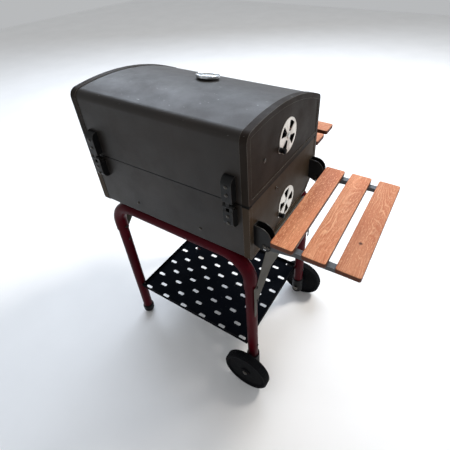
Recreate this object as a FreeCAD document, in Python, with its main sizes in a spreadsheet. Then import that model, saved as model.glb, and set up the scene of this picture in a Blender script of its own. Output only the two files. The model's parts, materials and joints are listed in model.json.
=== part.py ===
"""Charcoal barrel grill on a wheeled tube frame, as a parametric FreeCAD document.

Frame of the part: +X towards the plain end with the feet, -X towards the side shelf and the
wheels, -Y towards the cook, +Y towards the rear, +Z up. The origin is on the floor, under the
middle of the whole object. "Split" is the joint line between the lid and the base.
Most pieces are drawn about the barrel centre at the height of the split, and their Placement
carries them there. Millimetres throughout.
"""
import FreeCAD, Part
import Sketcher
import math
import os

V = FreeCAD.Vector
X_AXIS, Y_AXIS, Z_AXIS = V(1, 0, 0), V(0, 1, 0), V(0, 0, 1)

# --------------------------------------------------------------------------------------------
# Driving dimensions
# --------------------------------------------------------------------------------------------
DIMENSIONS = {
    # where the barrel stands
    "barrel_x": 137.0, "barrel_y": 57.25, "split_height": 831.0,
    # barrel
    "barrel_length": 575.0, "barrel_depth": 428.0, "base_height": 186.0, "sheet": 1.5,
    "rim_gap": 1.0, "lap_gap": 0.1, "cap_lap": 20.0, "cap_rim": 15.0, "cap_recess": 1.5,
    "base_border": 8.0,
    "slope_depth": 64.0, "slope_height": 51.0, "base_bend": 10.0,
    "lid_crest_y": 92.5, "lid_crest": 204.2, "lid_top_radius": 700.0,
    "lid_rear_bend": 26.0, "lid_front_bend": 20.0,
    # air vents
    "vent_radius": 50.0, "vent_sheet": 1.2, "vent_inner": 13.0, "vent_outer": 42.0,
    "vent_half_angle": 21.5, "vent_ear": 9.0, "vent_ear_angle": -24.0, "vent_lift": 0.1,
    "lid_window_angle": 35.0, "base_window_angle": 0.0,
    "lid_vent_y": 6.0, "lid_vent_height": 98.0, "base_vent_drop": 126.0,
    "rivet_radius": 3.0, "rivet_head": 8.0, "running_gap": 0.08,
    "knob_radius": 7.5, "knob_length": 17.0,
    # lid hinges
    "hinge_x": 237.0, "hinge_y": 226.0, "hinge_drop": 3.0, "hinge_width": 30.0,
    "hinge_face_y": 233.5, "hinge_wall": 2.0, "lid_leaf_top": 82.0, "base_leaf_bottom": 70.0,
    "leaf_start": 11.0, "knuckle_radius": 7.0, "knuckle_gap": 0.3, "hinge_pin_radius": 3.0,
    "lid_bolt_low": 34.0, "lid_bolt_high": 58.0, "base_bolt_low": 54.0, "base_bolt_high": 32.0,
    # fasteners
    "bolt_radius": 2.5, "bolt_head": 5.0, "bolt_head_height": 3.2, "nut_height": 3.0,
    "bolt_clear": 0.3, "screw_radius": 1.8, "screw_head": 3.6, "screw_length": 12.0,
    # lid handle
    "handle_height": 62.0, "handle_stand": 54.0, "handle_spread": 135.0, "grip_radius": 14.0,
    "grip_length": 340.0, "post_radius": 5.5, "post_foot_radius": 15.0, "post_foot": 3.0,
    "stud_radius": 3.0,
    # thermometer
    "gauge_y": 43.0, "gauge_tilt": 11.16, "gauge_surface": 191.0, "gauge_radius": 35.5,
    "gauge_height": 12.0, "gauge_lip": 30.0, "gauge_bore": 32.0, "dial_radius": 31.6,
    "stem_radius": 3.5, "stem_length": 55.0, "spindle_radius": 1.0,
    # grates, coals and ash
    "grate_length": 264.0, "grate_depth": 406.0, "grate_thick": 7.0, "grate_drop": 10.0,
    "grate_slot": 9.0, "grate_pitch": 17.0, "grate_slot_length": 118.0, "grate_bar": 12.0,
    "ledge_width": 15.0, "ledge_leg": 9.0, "ledge_length": 560.0, "coal_drop": 123.0,
    "coal_length": 520.0,
    "coal_depth": 366.0, "coal_thick": 5.0, "coal_slot_length": 104.0,
    "rest_x": 121.0, "rest_width": 34.0, "rest_reach": 36.0, "rest_leg": 30.0,
    "rest_sheet": 2.0, "pan_length": 480.0, "pan_depth": 320.0, "pan_height": 26.0,
    "pan_y": 24.0, "rack_y": 134.0, "rack_height": 91.0, "rack_half": 50.0, "rack_fall": 31.0,
    "rack_rod": 2.5, "rack_length": 548.0, "rack_plate": 2.0,
    # frame
    "leg_x": 272.0, "leg_y": 195.0, "tube_radius": 21.2, "tube_wall": 2.5, "tube_bend": 90.0,
    "tube_foot_drop": 328.0, "leg_radius": 18.3, "leg_wall": 1.6, "leg_overlap": 29.0,
    "rail_gap": 0.3, "foot_radius": 22.0, "foot_height": 46.0, "foot_sole": 14.0,
    "boot_radius": 22.5, "boot_height": 72.0, "boot_below_axle": 27.0, "boot_floor": 4.0,
    "brace_gap": 0.1, "brace_top": 124.0, "brace_shoulder_drop": 308.0, "brace_edge": 212.0,
    "brace_tail_drop": 443.0, "brace_tail": 12.0, "brace_elbow_drop": 383.0,
    "brace_arch": 105.0, "brace_arch_drop": 306.0, "brace_flange": 26.0,
    "plain_brace_edge": 203.0, "plain_brace_foot": 16.0, "plain_brace_drop": 390.0,
    "brace_flange_half": 116.0, "brace_bolt_high": 316.0, "brace_bolt_low": 377.0,
    "floor_bolt_x": 277.0, "floor_bolt_y": 90.0,
    # bottom shelf
    "shelf_drop": 644.0, "shelf_half_y": 206.0, "shelf_lip": 12.0, "slot_length": 30.0,
    "slot_width": 12.0, "slot_pitch_x": 90.6, "slot_pitch_y": 38.7,
    # wheels
    "wheel_radius": 86.0, "wheel_width": 30.0, "wheel_y": 241.0, "axle_radius": 6.0,
    "hub_radius": 17.0, "wheel_rim": 11.0, "wheel_dish": 5.0, "tread_depth": 1.6,
    "tread_width": 4.5, "axle_shoulder": 11.0, "axle_end_gap": 0.4, "axle_cap": 9.0,
    # side shelf
    "slat_width": 63.0, "slat_gap": 23.0, "slat_thick": 15.0, "slat_length": 403.0,
    "slat_round": 6.0, "side_slat_x": 337.0, "side_slat_drop": 101.0, "arm_y": 181.0,
    "arm_width": 18.0, "arm_tip": 569.0, "arm_root": 15.0, "pivot_x": 317.0,
    "pivot_drop": 133.0, "pivot_radius": 4.0, "stop_radius": 12.0, "ear_reach": 19.0,
    "ear_round": 33.0, "ear_top": 71.0, "ear_bottom": 140.0, "ear_sheet": 2.0, "ear_gap": 1.0,
    "arm_knee_x": 403.0, "arm_knee_depth": 16.0, "arm_tip_depth": 11.0,
    # front shelf
    "front_slat_y": 227.0, "front_slat_drop": 35.0, "front_bracket_x": 205.0,
    "front_bracket_depth": 62.0, "front_bracket_width": 22.0,
}

doc = FreeCAD.newDocument("BarrelGrill")
sheet = doc.addObject("Spreadsheet::Sheet", "Dims")
for row_number, (alias, number) in enumerate(DIMENSIONS.items(), start=1):
    sheet.set(f"A{row_number}", alias)
    sheet.set(f"B{row_number}", str(number))
    sheet.setAlias(f"B{row_number}", alias)
doc.recompute()


class Dim:
    """A number together with the spreadsheet expression that it comes from."""

    def __init__(self, value, text):
        self.value = float(value)
        self.text = text

    @staticmethod
    def of(other):
        return other if isinstance(other, Dim) else Dim(other, repr(float(other)))

    def __add__(self, other):
        other = Dim.of(other)
        return Dim(self.value + other.value, f"({self.text} + {other.text})")

    def __sub__(self, other):
        other = Dim.of(other)
        return Dim(self.value - other.value, f"({self.text} - {other.text})")

    def __mul__(self, other):
        other = Dim.of(other)
        return Dim(self.value * other.value, f"({self.text} * {other.text})")

    def __truediv__(self, other):
        other = Dim.of(other)
        return Dim(self.value / other.value, f"({self.text} / {other.text})")

    def __neg__(self):
        return Dim(-self.value, f"(0 - {self.text})")

    def __radd__(self, other):
        return Dim.of(other) + self

    def __rsub__(self, other):
        return Dim.of(other) - self

    def __rmul__(self, other):
        return Dim.of(other) * self


def dim(alias):
    return Dim(DIMENSIONS[alias], f"Dims.{alias}")


def sin_deg(angle):
    angle = Dim.of(angle)
    return Dim(math.sin(math.radians(angle.value)), f"sin({angle.text})")


def cos_deg(angle):
    angle = Dim.of(angle)
    return Dim(math.cos(math.radians(angle.value)), f"cos({angle.text})")


def root(number):
    return Dim(math.sqrt(number.value), f"sqrt({number.text})")


def min_by_value(first, second):
    return first if first.value < second.value else second


def max_by_value(first, second):
    return first if first.value > second.value else second


def dome_radius(reach, rise):
    """Radius of a cap that rises over a circle of the stated radius."""
    return (reach * reach + rise * rise) / (rise * 2)


def bind(thing, prop, amount):
    """Sets a property from the spreadsheet."""
    thing.setExpression(prop, Dim.of(amount).text)


# --------------------------------------------------------------------------------------------
# Drawing helpers
# --------------------------------------------------------------------------------------------
def place(thing, x=0, y=0, z=0, rotation=None):
    """Puts a piece at a point of the row frame."""
    if rotation is not None:
        thing.Placement = FreeCAD.Placement(V(0, 0, 0), rotation)
    for axis, amount in (("x", x), ("y", y), ("z", z)):
        bind(thing, f"Placement.Base.{axis}", amount)


def place_on_barrel(thing, x=0, y=0, z=0, rotation=None):
    """Puts a piece at a point counted from the barrel centre at the split."""
    place(thing, dim("barrel_x") + x, dim("barrel_y") + y, dim("split_height") + z, rotation)


def new_body(label):
    body = doc.addObject("PartDesign::Body", label)
    body.Label = label
    return body


def origin_plane(body, role):
    return next(feature for feature in body.Origin.OriginFeatures if feature.Role == role)


def new_sketch(body, role, at=0, shift_x=0, shift_y=0):
    """A sketch on an origin plane, at a coordinate across the plane, moved within the plane."""
    sketch = body.newObject("Sketcher::SketchObject", f"{body.Name}_sketch")
    sketch.AttachmentSupport = [(origin_plane(body, role), "")]
    sketch.MapMode = "FlatFace"
    across = -Dim.of(at) if role == "XZ_Plane" else at
    for axis, amount in (("x", shift_x), ("y", shift_y), ("z", across)):
        bind(sketch, f"AttachmentOffset.Base.{axis}", amount)
    return sketch


def pin_point(sketch, geometry, position, x, y):
    """Fixes one end or centre of an edge at sheet-driven coordinates."""
    for kind, amount, axis_line in (("DistanceX", Dim.of(x), -2), ("DistanceY", Dim.of(y), -1)):
        if abs(amount.value) < 1e-9:
            sketch.addConstraint(Sketcher.Constraint("PointOnObject", geometry, position, axis_line))
            continue
        ends = (-1, 1, geometry, position) if amount.value > 0 else (geometry, position, -1, 1)
        index = sketch.addConstraint(Sketcher.Constraint(kind, *ends, abs(amount.value)))
        text = amount.text if amount.value > 0 else f"(0 - {amount.text})"
        sketch.setExpression(f"Constraints[{index}]", text)


def draw_circle(sketch, x, y, radius):
    x, y, radius = Dim.of(x), Dim.of(y), Dim.of(radius)
    circle = sketch.addGeometry(Part.Circle(V(x.value, y.value, 0), Z_AXIS, radius.value))
    pin_point(sketch, circle, 3, x, y)
    index = sketch.addConstraint(Sketcher.Constraint("Radius", circle, radius.value))
    sketch.setExpression(f"Constraints[{index}]", radius.text)


def arc_between(start, end, radius):
    """The short arc from start to end. A positive radius bulges to the right of the way."""
    chord = end - start
    half = chord.Length / 2
    side = V(chord.y, -chord.x, 0).normalize()
    rise = abs(radius) - math.sqrt(max(radius * radius - half * half, 0.0))
    middle = (start + end) / 2 + side * math.copysign(rise, radius)
    return Part.Arc(start, middle, end) if radius > 0 else Part.Arc(end, middle, start)


def draw_outline(sketch, corners, closed=True):
    """An outline. A corner is (x, y), or (x, y, radius) where an arc leads to the next."""
    corners = [tuple(Dim.of(number) for number in corner) for corner in corners]
    points = [V(corner[0].value, corner[1].value, 0) for corner in corners]
    edges = []
    last_index = len(corners) if closed else len(corners) - 1
    for index, corner in enumerate(corners[:last_index]):
        start, end = points[index], points[(index + 1) % len(points)]
        if len(corner) == 2:
            edges.append((sketch.addGeometry(Part.LineSegment(start, end)), 1, 2))
            continue
        arc = arc_between(start, end, corner[2].value)
        edge = sketch.addGeometry(arc)
        forwards = sketch.Geometry[edge].StartPoint.distanceToPoint(start) < 1e-6
        edges.append((edge, 1, 2) if forwards else (edge, 2, 1))
    for index, (edge, first, last) in enumerate(edges):
        if closed or index + 1 < len(edges):
            following, following_first, _ = edges[(index + 1) % len(edges)]
            sketch.addConstraint(
                Sketcher.Constraint("Coincident", edge, last, following, following_first))
        else:
            pin_point(sketch, edge, last, corners[-1][0], corners[-1][1])
        pin_point(sketch, edge, first, corners[index][0], corners[index][1])
        if len(corners[index]) == 3:
            radius = corners[index][2]
            bound = sketch.addConstraint(Sketcher.Constraint("Radius", edge, abs(radius.value)))
            sketch.setExpression(f"Constraints[{bound}]", f"abs({radius.text})")


def draw_rectangle(sketch, x_low, y_low, x_high, y_high):
    draw_outline(sketch, [(x_low, y_low), (x_high, y_low), (x_high, y_high), (x_low, y_high)])


def draw_slot(sketch, x, y, length, width, upright=False):
    """A slot with round ends, along the sketch's X or upright along its Y."""
    x, y, length, width = Dim.of(x), Dim.of(y), Dim.of(length), Dim.of(width)
    reach, half = (length - width) / 2, width / 2
    end_radius = half * 1.02
    if upright:
        corners = [(x + half, y - reach), (x + half, y + reach, end_radius),
                   (x - half, y + reach), (x - half, y - reach, end_radius)]
    else:
        corners = [(x - reach, y - half), (x + reach, y - half, end_radius),
                   (x + reach, y + half), (x - reach, y + half, end_radius)]
    draw_outline(sketch, corners)


def draw_sector(sketch, inner, outer, middle_angle, half_angle):
    """One wedge-shaped window of an air vent, about the sketch's own centre."""
    low, high = middle_angle - half_angle, middle_angle + half_angle
    draw_outline(sketch, [
        (inner * cos_deg(low), inner * sin_deg(low)),
        (outer * cos_deg(low), outer * sin_deg(low), outer),
        (outer * cos_deg(high), outer * sin_deg(high)),
        (inner * cos_deg(high), inner * sin_deg(high), -inner)])


def feature(body, kind, sketch):
    made = body.newObject(f"PartDesign::{kind}", f"{body.Name}_{kind.lower()}")
    made.Profile = sketch
    return made


def pad(body, sketch, length, midplane=False, reverse=False):
    made = feature(body, "Pad", sketch)
    bind(made, "Length", length)
    made.Midplane = midplane
    made.Reversed = reverse
    doc.recompute()
    return made


def cut(body, sketch, depth, midplane=False, reverse=False):
    """A pocket that has to take something away."""
    before = body.Shape.Volume
    made = feature(body, "Pocket", sketch)
    bind(made, "Length", depth)
    made.Midplane = midplane
    made.Reversed = reverse
    doc.recompute()
    if not body.Shape.Volume < before - 1e-6:
        raise RuntimeError(f"{body.Label}: a pocket cut nothing")
    return made


def revolve(body, sketch, axis_name="V_Axis"):
    made = feature(body, "Revolution", sketch)
    made.ReferenceAxis = (sketch, [axis_name])
    made.Angle = 360
    doc.recompute()
    return made


def round_edges(body, radius, wanted, kind="Fillet"):
    """Fillets or chamfers the edges that the test picks."""
    base = body.Tip
    names = [f"Edge{number}" for number, edge in enumerate(base.Shape.Edges, start=1)
             if wanted(edge)]
    if not names:
        raise RuntimeError(f"{body.Label}: no edge to round")
    made = body.newObject(f"PartDesign::{kind}", f"{body.Name}_{kind.lower()}")
    made.Base = (base, names)
    bind(made, "Radius" if kind == "Fillet" else "Size", radius)
    doc.recompute()
    return made


def shell(body, thick, is_open):
    """Hollows the body inwards and leaves out the faces that the test picks."""
    base = body.Tip
    names = [f"Face{number}" for number, face in enumerate(base.Shape.Faces, start=1)
             if is_open(face)]
    made = body.newObject("PartDesign::Thickness", f"{body.Name}_shell")
    made.Base = (base, names)
    made.Reversed = True
    made.Join = "Intersection"
    bind(made, "Value", thick)
    doc.recompute()
    if not body.Shape.Volume < base.Shape.Volume * 0.7:
        raise RuntimeError(f"{body.Label}: the shell is not hollow")
    return made


def repeat_round(body, original, count, axis):
    made = body.newObject("PartDesign::PolarPattern", f"{body.Name}_ring")
    made.Originals = [original]
    made.Axis = axis
    made.Angle = 360
    made.Occurrences = count
    body.Tip = made
    doc.recompute()
    return made


def repeat_row(body, original, pitch, count, sketch, axis_name="H_Axis"):
    """Repeats a feature along one axis of its sketch. count includes the original."""
    made = body.newObject("PartDesign::LinearPattern", f"{body.Name}_row")
    made.Originals = [original]
    made.Direction = (sketch, [axis_name])
    made.Occurrences = count
    bind(made, "Length", pitch * (count - 1))
    body.Tip = made
    doc.recompute()
    return made


def along(edge, axis, tolerance=1e-4):
    """True for a straight edge parallel to an axis."""
    if not isinstance(edge.Curve, Part.Line):
        return False
    return abs(abs(edge.Curve.Direction.dot(axis)) - 1) < tolerance


def edge_at(edge, **where):
    """True when the edge's middle has the stated coordinates, counted in the body."""
    middle = edge.valueAt((edge.FirstParameter + edge.LastParameter) / 2)
    return all(abs(getattr(middle, axis) - Dim.of(amount).value) < 0.01
               for axis, amount in where.items())


def turned(label, profile):
    """A turned solid about its own Z. The profile lists (radius, z), closed along the axis."""
    body = new_body(label)
    sketch = new_sketch(body, "XZ_Plane")
    draw_outline(sketch, profile)
    revolve(body, sketch)
    return body


def drill(body, role, at, points, radius, depth):
    """Round holes through one wall that stands at a coordinate across the plane."""
    sketch = new_sketch(body, role, at)
    for x, y in points:
        draw_circle(sketch, x, y, radius)
    return cut(body, sketch, depth, midplane=True)


def group(label, copies):
    """One node of several separate solids. A copy is (master, x, y, z, rotation)."""
    links = []
    for number, (master, x, y, z, rotation) in enumerate(copies, start=1):
        link = doc.addObject("App::Link", f"{label}_{number}")
        link.LinkedObject = master
        place_on_barrel(link, x, y, z, rotation)
        links.append(link)
    whole = doc.addObject("Part::Compound", label)
    whole.Label = label
    whole.Links = links
    return whole


def bolt(name, grip, radius, head, head_height, nut=True):
    """A dome-headed bolt with its nut: head above Z=0, shank and nut below."""
    dome = head_height * 0.65
    tip = grip + dim("nut_height") + 1
    profile = [(0, -tip), (radius, -tip)]
    if nut:
        low = -(grip + dim("nut_height"))
        profile += [(radius, low), (head, low), (head, -grip), (radius, -grip)]
    profile += [(radius, 0), (head, 0), (head, head_height - dome, dome_radius(head, dome)),
                (0, head_height)]
    return turned(name, profile)


# --------------------------------------------------------------------------------------------
# Shared places, counted from the barrel centre at the split
# --------------------------------------------------------------------------------------------
SHEET = dim("sheet")
HALF_LENGTH = dim("barrel_length") / 2
HALF_DEPTH = dim("barrel_depth") / 2
PANEL_X = HALF_LENGTH - dim("cap_recess")            # outer face of an end's recessed panel
INSIDE_X = HALF_LENGTH - SHEET * 2                   # inner face of an end
WRAP_END = HALF_LENGTH - SHEET                       # where the wrapped sheet stops
WRAP_INSET = SHEET + dim("lap_gap")
WRAP_Y = HALF_DEPTH - WRAP_INSET                     # outer face of the wrapped sheet
INSIDE_Y = WRAP_Y - SHEET
INSIDE_FLOOR = WRAP_INSET + SHEET - dim("base_height")
RAIL_Z = -(dim("base_height") + dim("tube_radius") + dim("rail_gap"))
AXLE_Z = dim("wheel_radius") - dim("split_height")
BRACE_X = dim("leg_x") + dim("tube_radius") + dim("brace_gap")
BRACE_FACE_X = BRACE_X + SHEET
SHELF_X = dim("leg_x") - dim("leg_radius") - dim("brace_gap")
BOLT_HOLE = dim("bolt_radius") + dim("bolt_clear")
ENDS = (("vent", -1), ("plain", 1))
TO_PLUS_X = FreeCAD.Rotation(Y_AXIS, 90)             # turns a piece's +Z to +X
TO_MINUS_X = FreeCAD.Rotation(Y_AXIS, -90)
TO_REAR = FreeCAD.Rotation(X_AXIS, -90)              # turns a piece's +Z to +Y
TO_FRONT = FreeCAD.Rotation(X_AXIS, 90)
TO_FLOOR = FreeCAD.Rotation(X_AXIS, 180)
exported = []


def along_x(edge):
    return along(edge, X_AXIS)


def bend_edges(body, corner, radius):
    """Rounds the long edges that lie on one corner of an outline in Y and Z."""
    round_edges(body, radius, lambda edge: along_x(edge) and edge_at(
        edge, y=corner[0], z=corner[1]))


def base_outline(inset):
    """The base in Y and Z: upright walls and a sloped lower front corner. The mouth is first."""
    depth, height = HALF_DEPTH - inset, dim("base_height") - inset
    slope_depth = dim("slope_depth") - inset * 0.65
    slope_height = dim("slope_height") - inset * 0.52
    return [
        (depth, -dim("rim_gap")), (-depth, -dim("rim_gap")),
        (-depth, slope_height - height), (slope_depth - depth, -height), (depth, -height)]


def lid_top(y, inset):
    """Height of the arched top, or of a layer under it, at one Y."""
    reach, out = dim("lid_top_radius") - inset, y - dim("lid_crest_y")
    return dim("lid_crest") - dim("lid_top_radius") + root(reach * reach - out * out)


def lid_outline(inset):
    """The lid in Y and Z: tall rear wall, arched top, low front wall. The mouth is first."""
    depth = HALF_DEPTH - inset
    return [
        (-depth, dim("rim_gap")), (depth, dim("rim_gap")),
        (depth, lid_top(depth, inset), dim("lid_top_radius") - inset),
        (-depth, lid_top(-depth, inset))]


# For each half: its outline, its bends, and how far in the pressed panel's backing starts.
HALVES = {
    "base": (base_outline, ((2, dim("base_bend")), (3, dim("base_bend")), (4, dim("base_bend"))),
             dim("base_border") - 2),
    "lid": (lid_outline, ((2, dim("lid_rear_bend")), (3, dim("lid_front_bend"))),
            dim("cap_rim") - 2),
}


def rounded_block(body, half, middle, width):
    """One half of the barrel as a solid block with rounded bends."""
    outline, inset, bends = HALVES[half][0], block_inset(middle), HALVES[half][1]
    sketch = new_sketch(body, "YZ_Plane", middle)
    corners = outline(inset)
    draw_outline(sketch, corners)
    pad(body, sketch, width, midplane=True)
    for index, radius in bends:
        bend_edges(body, corners[index], radius - inset)


def block_inset(middle):
    """The wrapped sheet, in the middle, lies inside the laps of the end caps."""
    return WRAP_INSET if abs(Dim.of(middle).value) < 1 else Dim.of(0)


def is_mouth(face, half):
    mouth_z = DIMENSIONS["rim_gap"] * (1 if half == "lid" else -1)
    box = face.BoundBox
    return box.ZLength < 1e-6 and abs(box.ZMin - mouth_z) < 1e-6


def is_upright_at(face, x):
    box = face.BoundBox
    return box.XLength < 1e-6 and abs(box.XMin - Dim.of(x).value) < 1e-6


def wrapped_sheet(half):
    """The sheet that is wrapped round one half of the barrel."""
    body = new_body(f"{half}_wrap")
    rounded_block(body, half, 0, WRAP_END * 2)
    shell(body, SHEET, lambda face: is_mouth(face, half)
          or is_upright_at(face, WRAP_END) or is_upright_at(face, -WRAP_END))
    place_on_barrel(body)
    return body


def end_cap(half, end, sign):
    """A pressed pan that closes one end and laps over the wrapped sheet."""
    body = new_body(f"{half}_cap_{end}_end")
    lap = dim("cap_lap")
    rounded_block(body, half, (HALF_LENGTH - lap / 2) * sign, lap)
    shell(body, SHEET, lambda face: is_mouth(face, half)
          or is_upright_at(face, (HALF_LENGTH - lap) * sign))
    backing = new_sketch(body, "YZ_Plane", (INSIDE_X + SHEET / 2) * sign)
    draw_outline(backing, HALVES[half][0](HALVES[half][2]))
    pad(body, backing, SHEET, midplane=True)
    recess = new_sketch(body, "YZ_Plane", HALF_LENGTH * sign)
    draw_outline(recess, recess_outline(half))
    cut(body, recess, dim("cap_recess") * 2, midplane=True)
    place_on_barrel(body)
    exported.append(body)
    return body


def recess_outline(half):
    """The shallow panel pressed into an end."""
    rim, side = dim("cap_rim"), HALF_DEPTH - dim("cap_rim")
    if half == "lid":
        return [(-side, rim), (side, rim)] + lid_outline(rim)[2:]
    border = dim("base_border")
    front, bottom_front, bottom_rear = base_outline(border)[2:]
    drop = (rim - border) * dim("slope_height") / dim("slope_depth")
    return [(side, 10), (-side, 10), (-side, front[1] - drop), bottom_front,
            (side, bottom_rear[1])]


def vent_windows(body, at, y, z, middle_angle, depth):
    sketch = new_sketch(body, "YZ_Plane", at, y, z)
    draw_sector(sketch, dim("vent_inner"), dim("vent_outer"), middle_angle,
                dim("vent_half_angle"))
    window = cut(body, sketch, depth, midplane=True)
    repeat_round(body, window, 4, (sketch, ["N_Axis"]))


# --------------------------------------------------------------------------------------------
# Barrel sheets and ends
# --------------------------------------------------------------------------------------------
VENTS = {
    "lid": (dim("lid_vent_y"), dim("lid_vent_height"), dim("lid_window_angle")),
    "base": (Dim.of(0), -dim("base_vent_drop"), dim("base_window_angle")),
}
RACK_PIVOT = (dim("rack_y"), dim("rack_height"))
BRACKET_BOLTS = (-(dim("ear_top") + 12), -(dim("ear_bottom") - 7))

wraps = {half: wrapped_sheet(half) for half in HALVES}
exported.extend(wraps.values())
caps = {(half, end): end_cap(half, end, sign) for half in HALVES for end, sign in ENDS}

for half, (vent_y, vent_z, window_angle) in VENTS.items():
    panel = caps[half, "vent"]
    vent_windows(panel, -PANEL_X, vent_y, vent_z, window_angle, 10)
    drill(panel, "YZ_Plane", -PANEL_X, [(vent_y, vent_z)],
          dim("rivet_radius") + dim("running_gap"), 10)
for end, sign in ENDS:
    drill(caps["lid", end], "YZ_Plane", PANEL_X * sign, [RACK_PIVOT], BOLT_HOLE, 10)
    floor_points = [(dim("floor_bolt_x") * sign, dim("floor_bolt_y") * side) for side in (1, -1)]
    drill(caps["base", end], "XY_Plane", -dim("base_height"), floor_points, BOLT_HOLE, 6)
    drill(wraps["base"], "XY_Plane", INSIDE_FLOOR, floor_points, BOLT_HOLE, 6)
drill(caps["base", "vent"], "YZ_Plane", -PANEL_X,
      [(dim("arm_y") * side, z) for side in (1, -1) for z in BRACKET_BOLTS], BOLT_HOLE, 10)

HINGE_X = (-dim("hinge_x"), dim("hinge_x"))
LID_BOLT_Z = (dim("lid_bolt_low"), dim("lid_bolt_high"))
BASE_BOLT_Z = (-dim("base_bolt_low"), -dim("base_bolt_high"))
REST_TOP = -(dim("coal_drop") + dim("coal_thick"))
REST_BOLT = dim("rest_leg") / 2
REST_X = (-dim("rest_x"), dim("rest_x"))
POST_X = (-dim("handle_spread"), dim("handle_spread"))
BRACKET_X = (-dim("front_bracket_x"), dim("front_bracket_x"))
FRONT_SLAT_FOOT = -(dim("front_slat_drop") + dim("slat_thick"))
FRONT_BOLT_Z = (FRONT_SLAT_FOOT - 14, FRONT_SLAT_FOOT - 46)

drill(wraps["lid"], "XZ_Plane", INSIDE_Y, [(x, z) for x in HINGE_X for z in LID_BOLT_Z],
      BOLT_HOLE, 10)
drill(wraps["lid"], "XZ_Plane", -INSIDE_Y, [(x, dim("handle_height")) for x in POST_X],
      dim("stud_radius") + dim("bolt_clear"), 10)
drill(wraps["lid"], "XY_Plane", dim("gauge_surface"), [(0, -dim("gauge_y"))],
      dim("stem_radius") + 1, 20)
drill(wraps["base"], "XZ_Plane", INSIDE_Y,
      [(x, z) for x in HINGE_X for z in BASE_BOLT_Z]
      + [(x, REST_TOP - REST_BOLT) for x in REST_X], BOLT_HOLE, 10)
drill(wraps["base"], "XZ_Plane", -INSIDE_Y,
      [(x, z) for x in BRACKET_X for z in FRONT_BOLT_Z]
      + [(x, REST_TOP + REST_BOLT) for x in REST_X], BOLT_HOLE, 10)


# --------------------------------------------------------------------------------------------
# Lid hinges
# --------------------------------------------------------------------------------------------
def hinge_leaf(label, sign, start, end, bolt_heights, knuckles):
    """A hollow pressed leaf with a rounded end. sign +1 stands up from the pin, -1 hangs."""
    body = new_body(label)
    wall, face = dim("hinge_wall"), dim("hinge_face_y")
    axis_y, axis_z = dim("hinge_y"), -dim("hinge_drop")
    for inset, make, width in ((Dim.of(0), pad, dim("hinge_width")),
                               (wall, cut, dim("hinge_width") - wall * 2)):
        inner, outer = (WRAP_Y, face) if make is pad else (WRAP_Y - 1, face - wall)
        low, high = start + inset, end - inset
        bend = outer - inner
        sketch = new_sketch(body, "YZ_Plane")
        draw_outline(sketch, [
            (inner, low * sign), (outer, low * sign),
            (outer, (high - bend) * sign, bend * sign), (inner, high * sign)])
        make(body, sketch, width, midplane=True)
    for middle, width in knuckles:
        barrel = new_sketch(body, "YZ_Plane", middle)
        draw_circle(barrel, axis_y, axis_z, dim("knuckle_radius"))
        pad(body, barrel, width, midplane=True)
        web = new_sketch(body, "YZ_Plane", middle)
        draw_rectangle(web, axis_y - dim("knuckle_radius") + 0.5, min_by_value(axis_z, start * sign),
                       axis_y + dim("knuckle_radius") - 0.5,
                       max_by_value(axis_z, (start + wall / 2) * sign))
        pad(body, web, width, midplane=True)
    drill(body, "YZ_Plane", 0, [(axis_y, axis_z)],
          dim("hinge_pin_radius") + dim("running_gap"), dim("hinge_width") + 2)
    drill(body, "XZ_Plane", face, [(0, height) for height in bolt_heights], BOLT_HOLE, 10)
    return body


third = dim("hinge_width") / 3
LID_KNUCKLES = [(Dim.of(0), third - dim("knuckle_gap"))]
BASE_KNUCKLES = [(-third, third - dim("knuckle_gap")), (third, third - dim("knuckle_gap"))]
for side, x in (("left", -dim("hinge_x")), ("right", dim("hinge_x"))):
    lid_leaf = hinge_leaf(f"lid_hinge_leaf_{side}", 1, dim("leaf_start"), dim("lid_leaf_top"),
                          LID_BOLT_Z, LID_KNUCKLES)
    base_leaf = hinge_leaf(f"base_hinge_leaf_{side}", -1, dim("leaf_start") + 6,
                           dim("base_leaf_bottom"), BASE_BOLT_Z, BASE_KNUCKLES)
    for leaf in (lid_leaf, base_leaf):
        place_on_barrel(leaf, x=x)
        exported.append(leaf)

pin_half = dim("hinge_width") / 2 + 0.3
pin = turned("hinge_pin", [
    (0, -pin_half - 2), (4.5, -pin_half - 2), (4.5, -pin_half), (dim("hinge_pin_radius"), -pin_half),
    (dim("hinge_pin_radius"), pin_half), (4.5, pin_half), (4.5, pin_half + 2), (0, pin_half + 2)])
exported.append(group("hinge_pins", [
    (pin, x, dim("hinge_y"), -dim("hinge_drop"), TO_PLUS_X) for x in HINGE_X]))

HEAD = (dim("bolt_radius"), dim("bolt_head"), dim("bolt_head_height"))
hinge_bolt = bolt("hinge_bolt", dim("hinge_face_y") - INSIDE_Y, *HEAD)
rest_bolt = bolt("rest_bolt", SHEET + dim("rest_sheet"), *HEAD)
bracket_bolt = bolt("bracket_bolt", SHEET + dim("ear_sheet"), *HEAD)
exported.append(group("lid_hinge_bolts", [
    (hinge_bolt, x, dim("hinge_face_y"), z, TO_REAR) for x in HINGE_X for z in LID_BOLT_Z]))
exported.append(group("base_wall_bolts", [
    (hinge_bolt, x, dim("hinge_face_y"), z, TO_REAR) for x in HINGE_X for z in BASE_BOLT_Z]
    + [(rest_bolt, x, WRAP_Y, REST_TOP - REST_BOLT, TO_REAR) for x in REST_X]
    + [(rest_bolt, x, -WRAP_Y, REST_TOP + REST_BOLT, TO_FRONT) for x in REST_X]
    + [(bracket_bolt, x, -WRAP_Y - dim("ear_sheet"), z, TO_FRONT)
       for x in BRACKET_X for z in FRONT_BOLT_Z]
    + [(bracket_bolt, -PANEL_X - dim("ear_sheet"), dim("arm_y") * side, z, TO_MINUS_X)
       for side in (1, -1) for z in BRACKET_BOLTS]))

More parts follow.
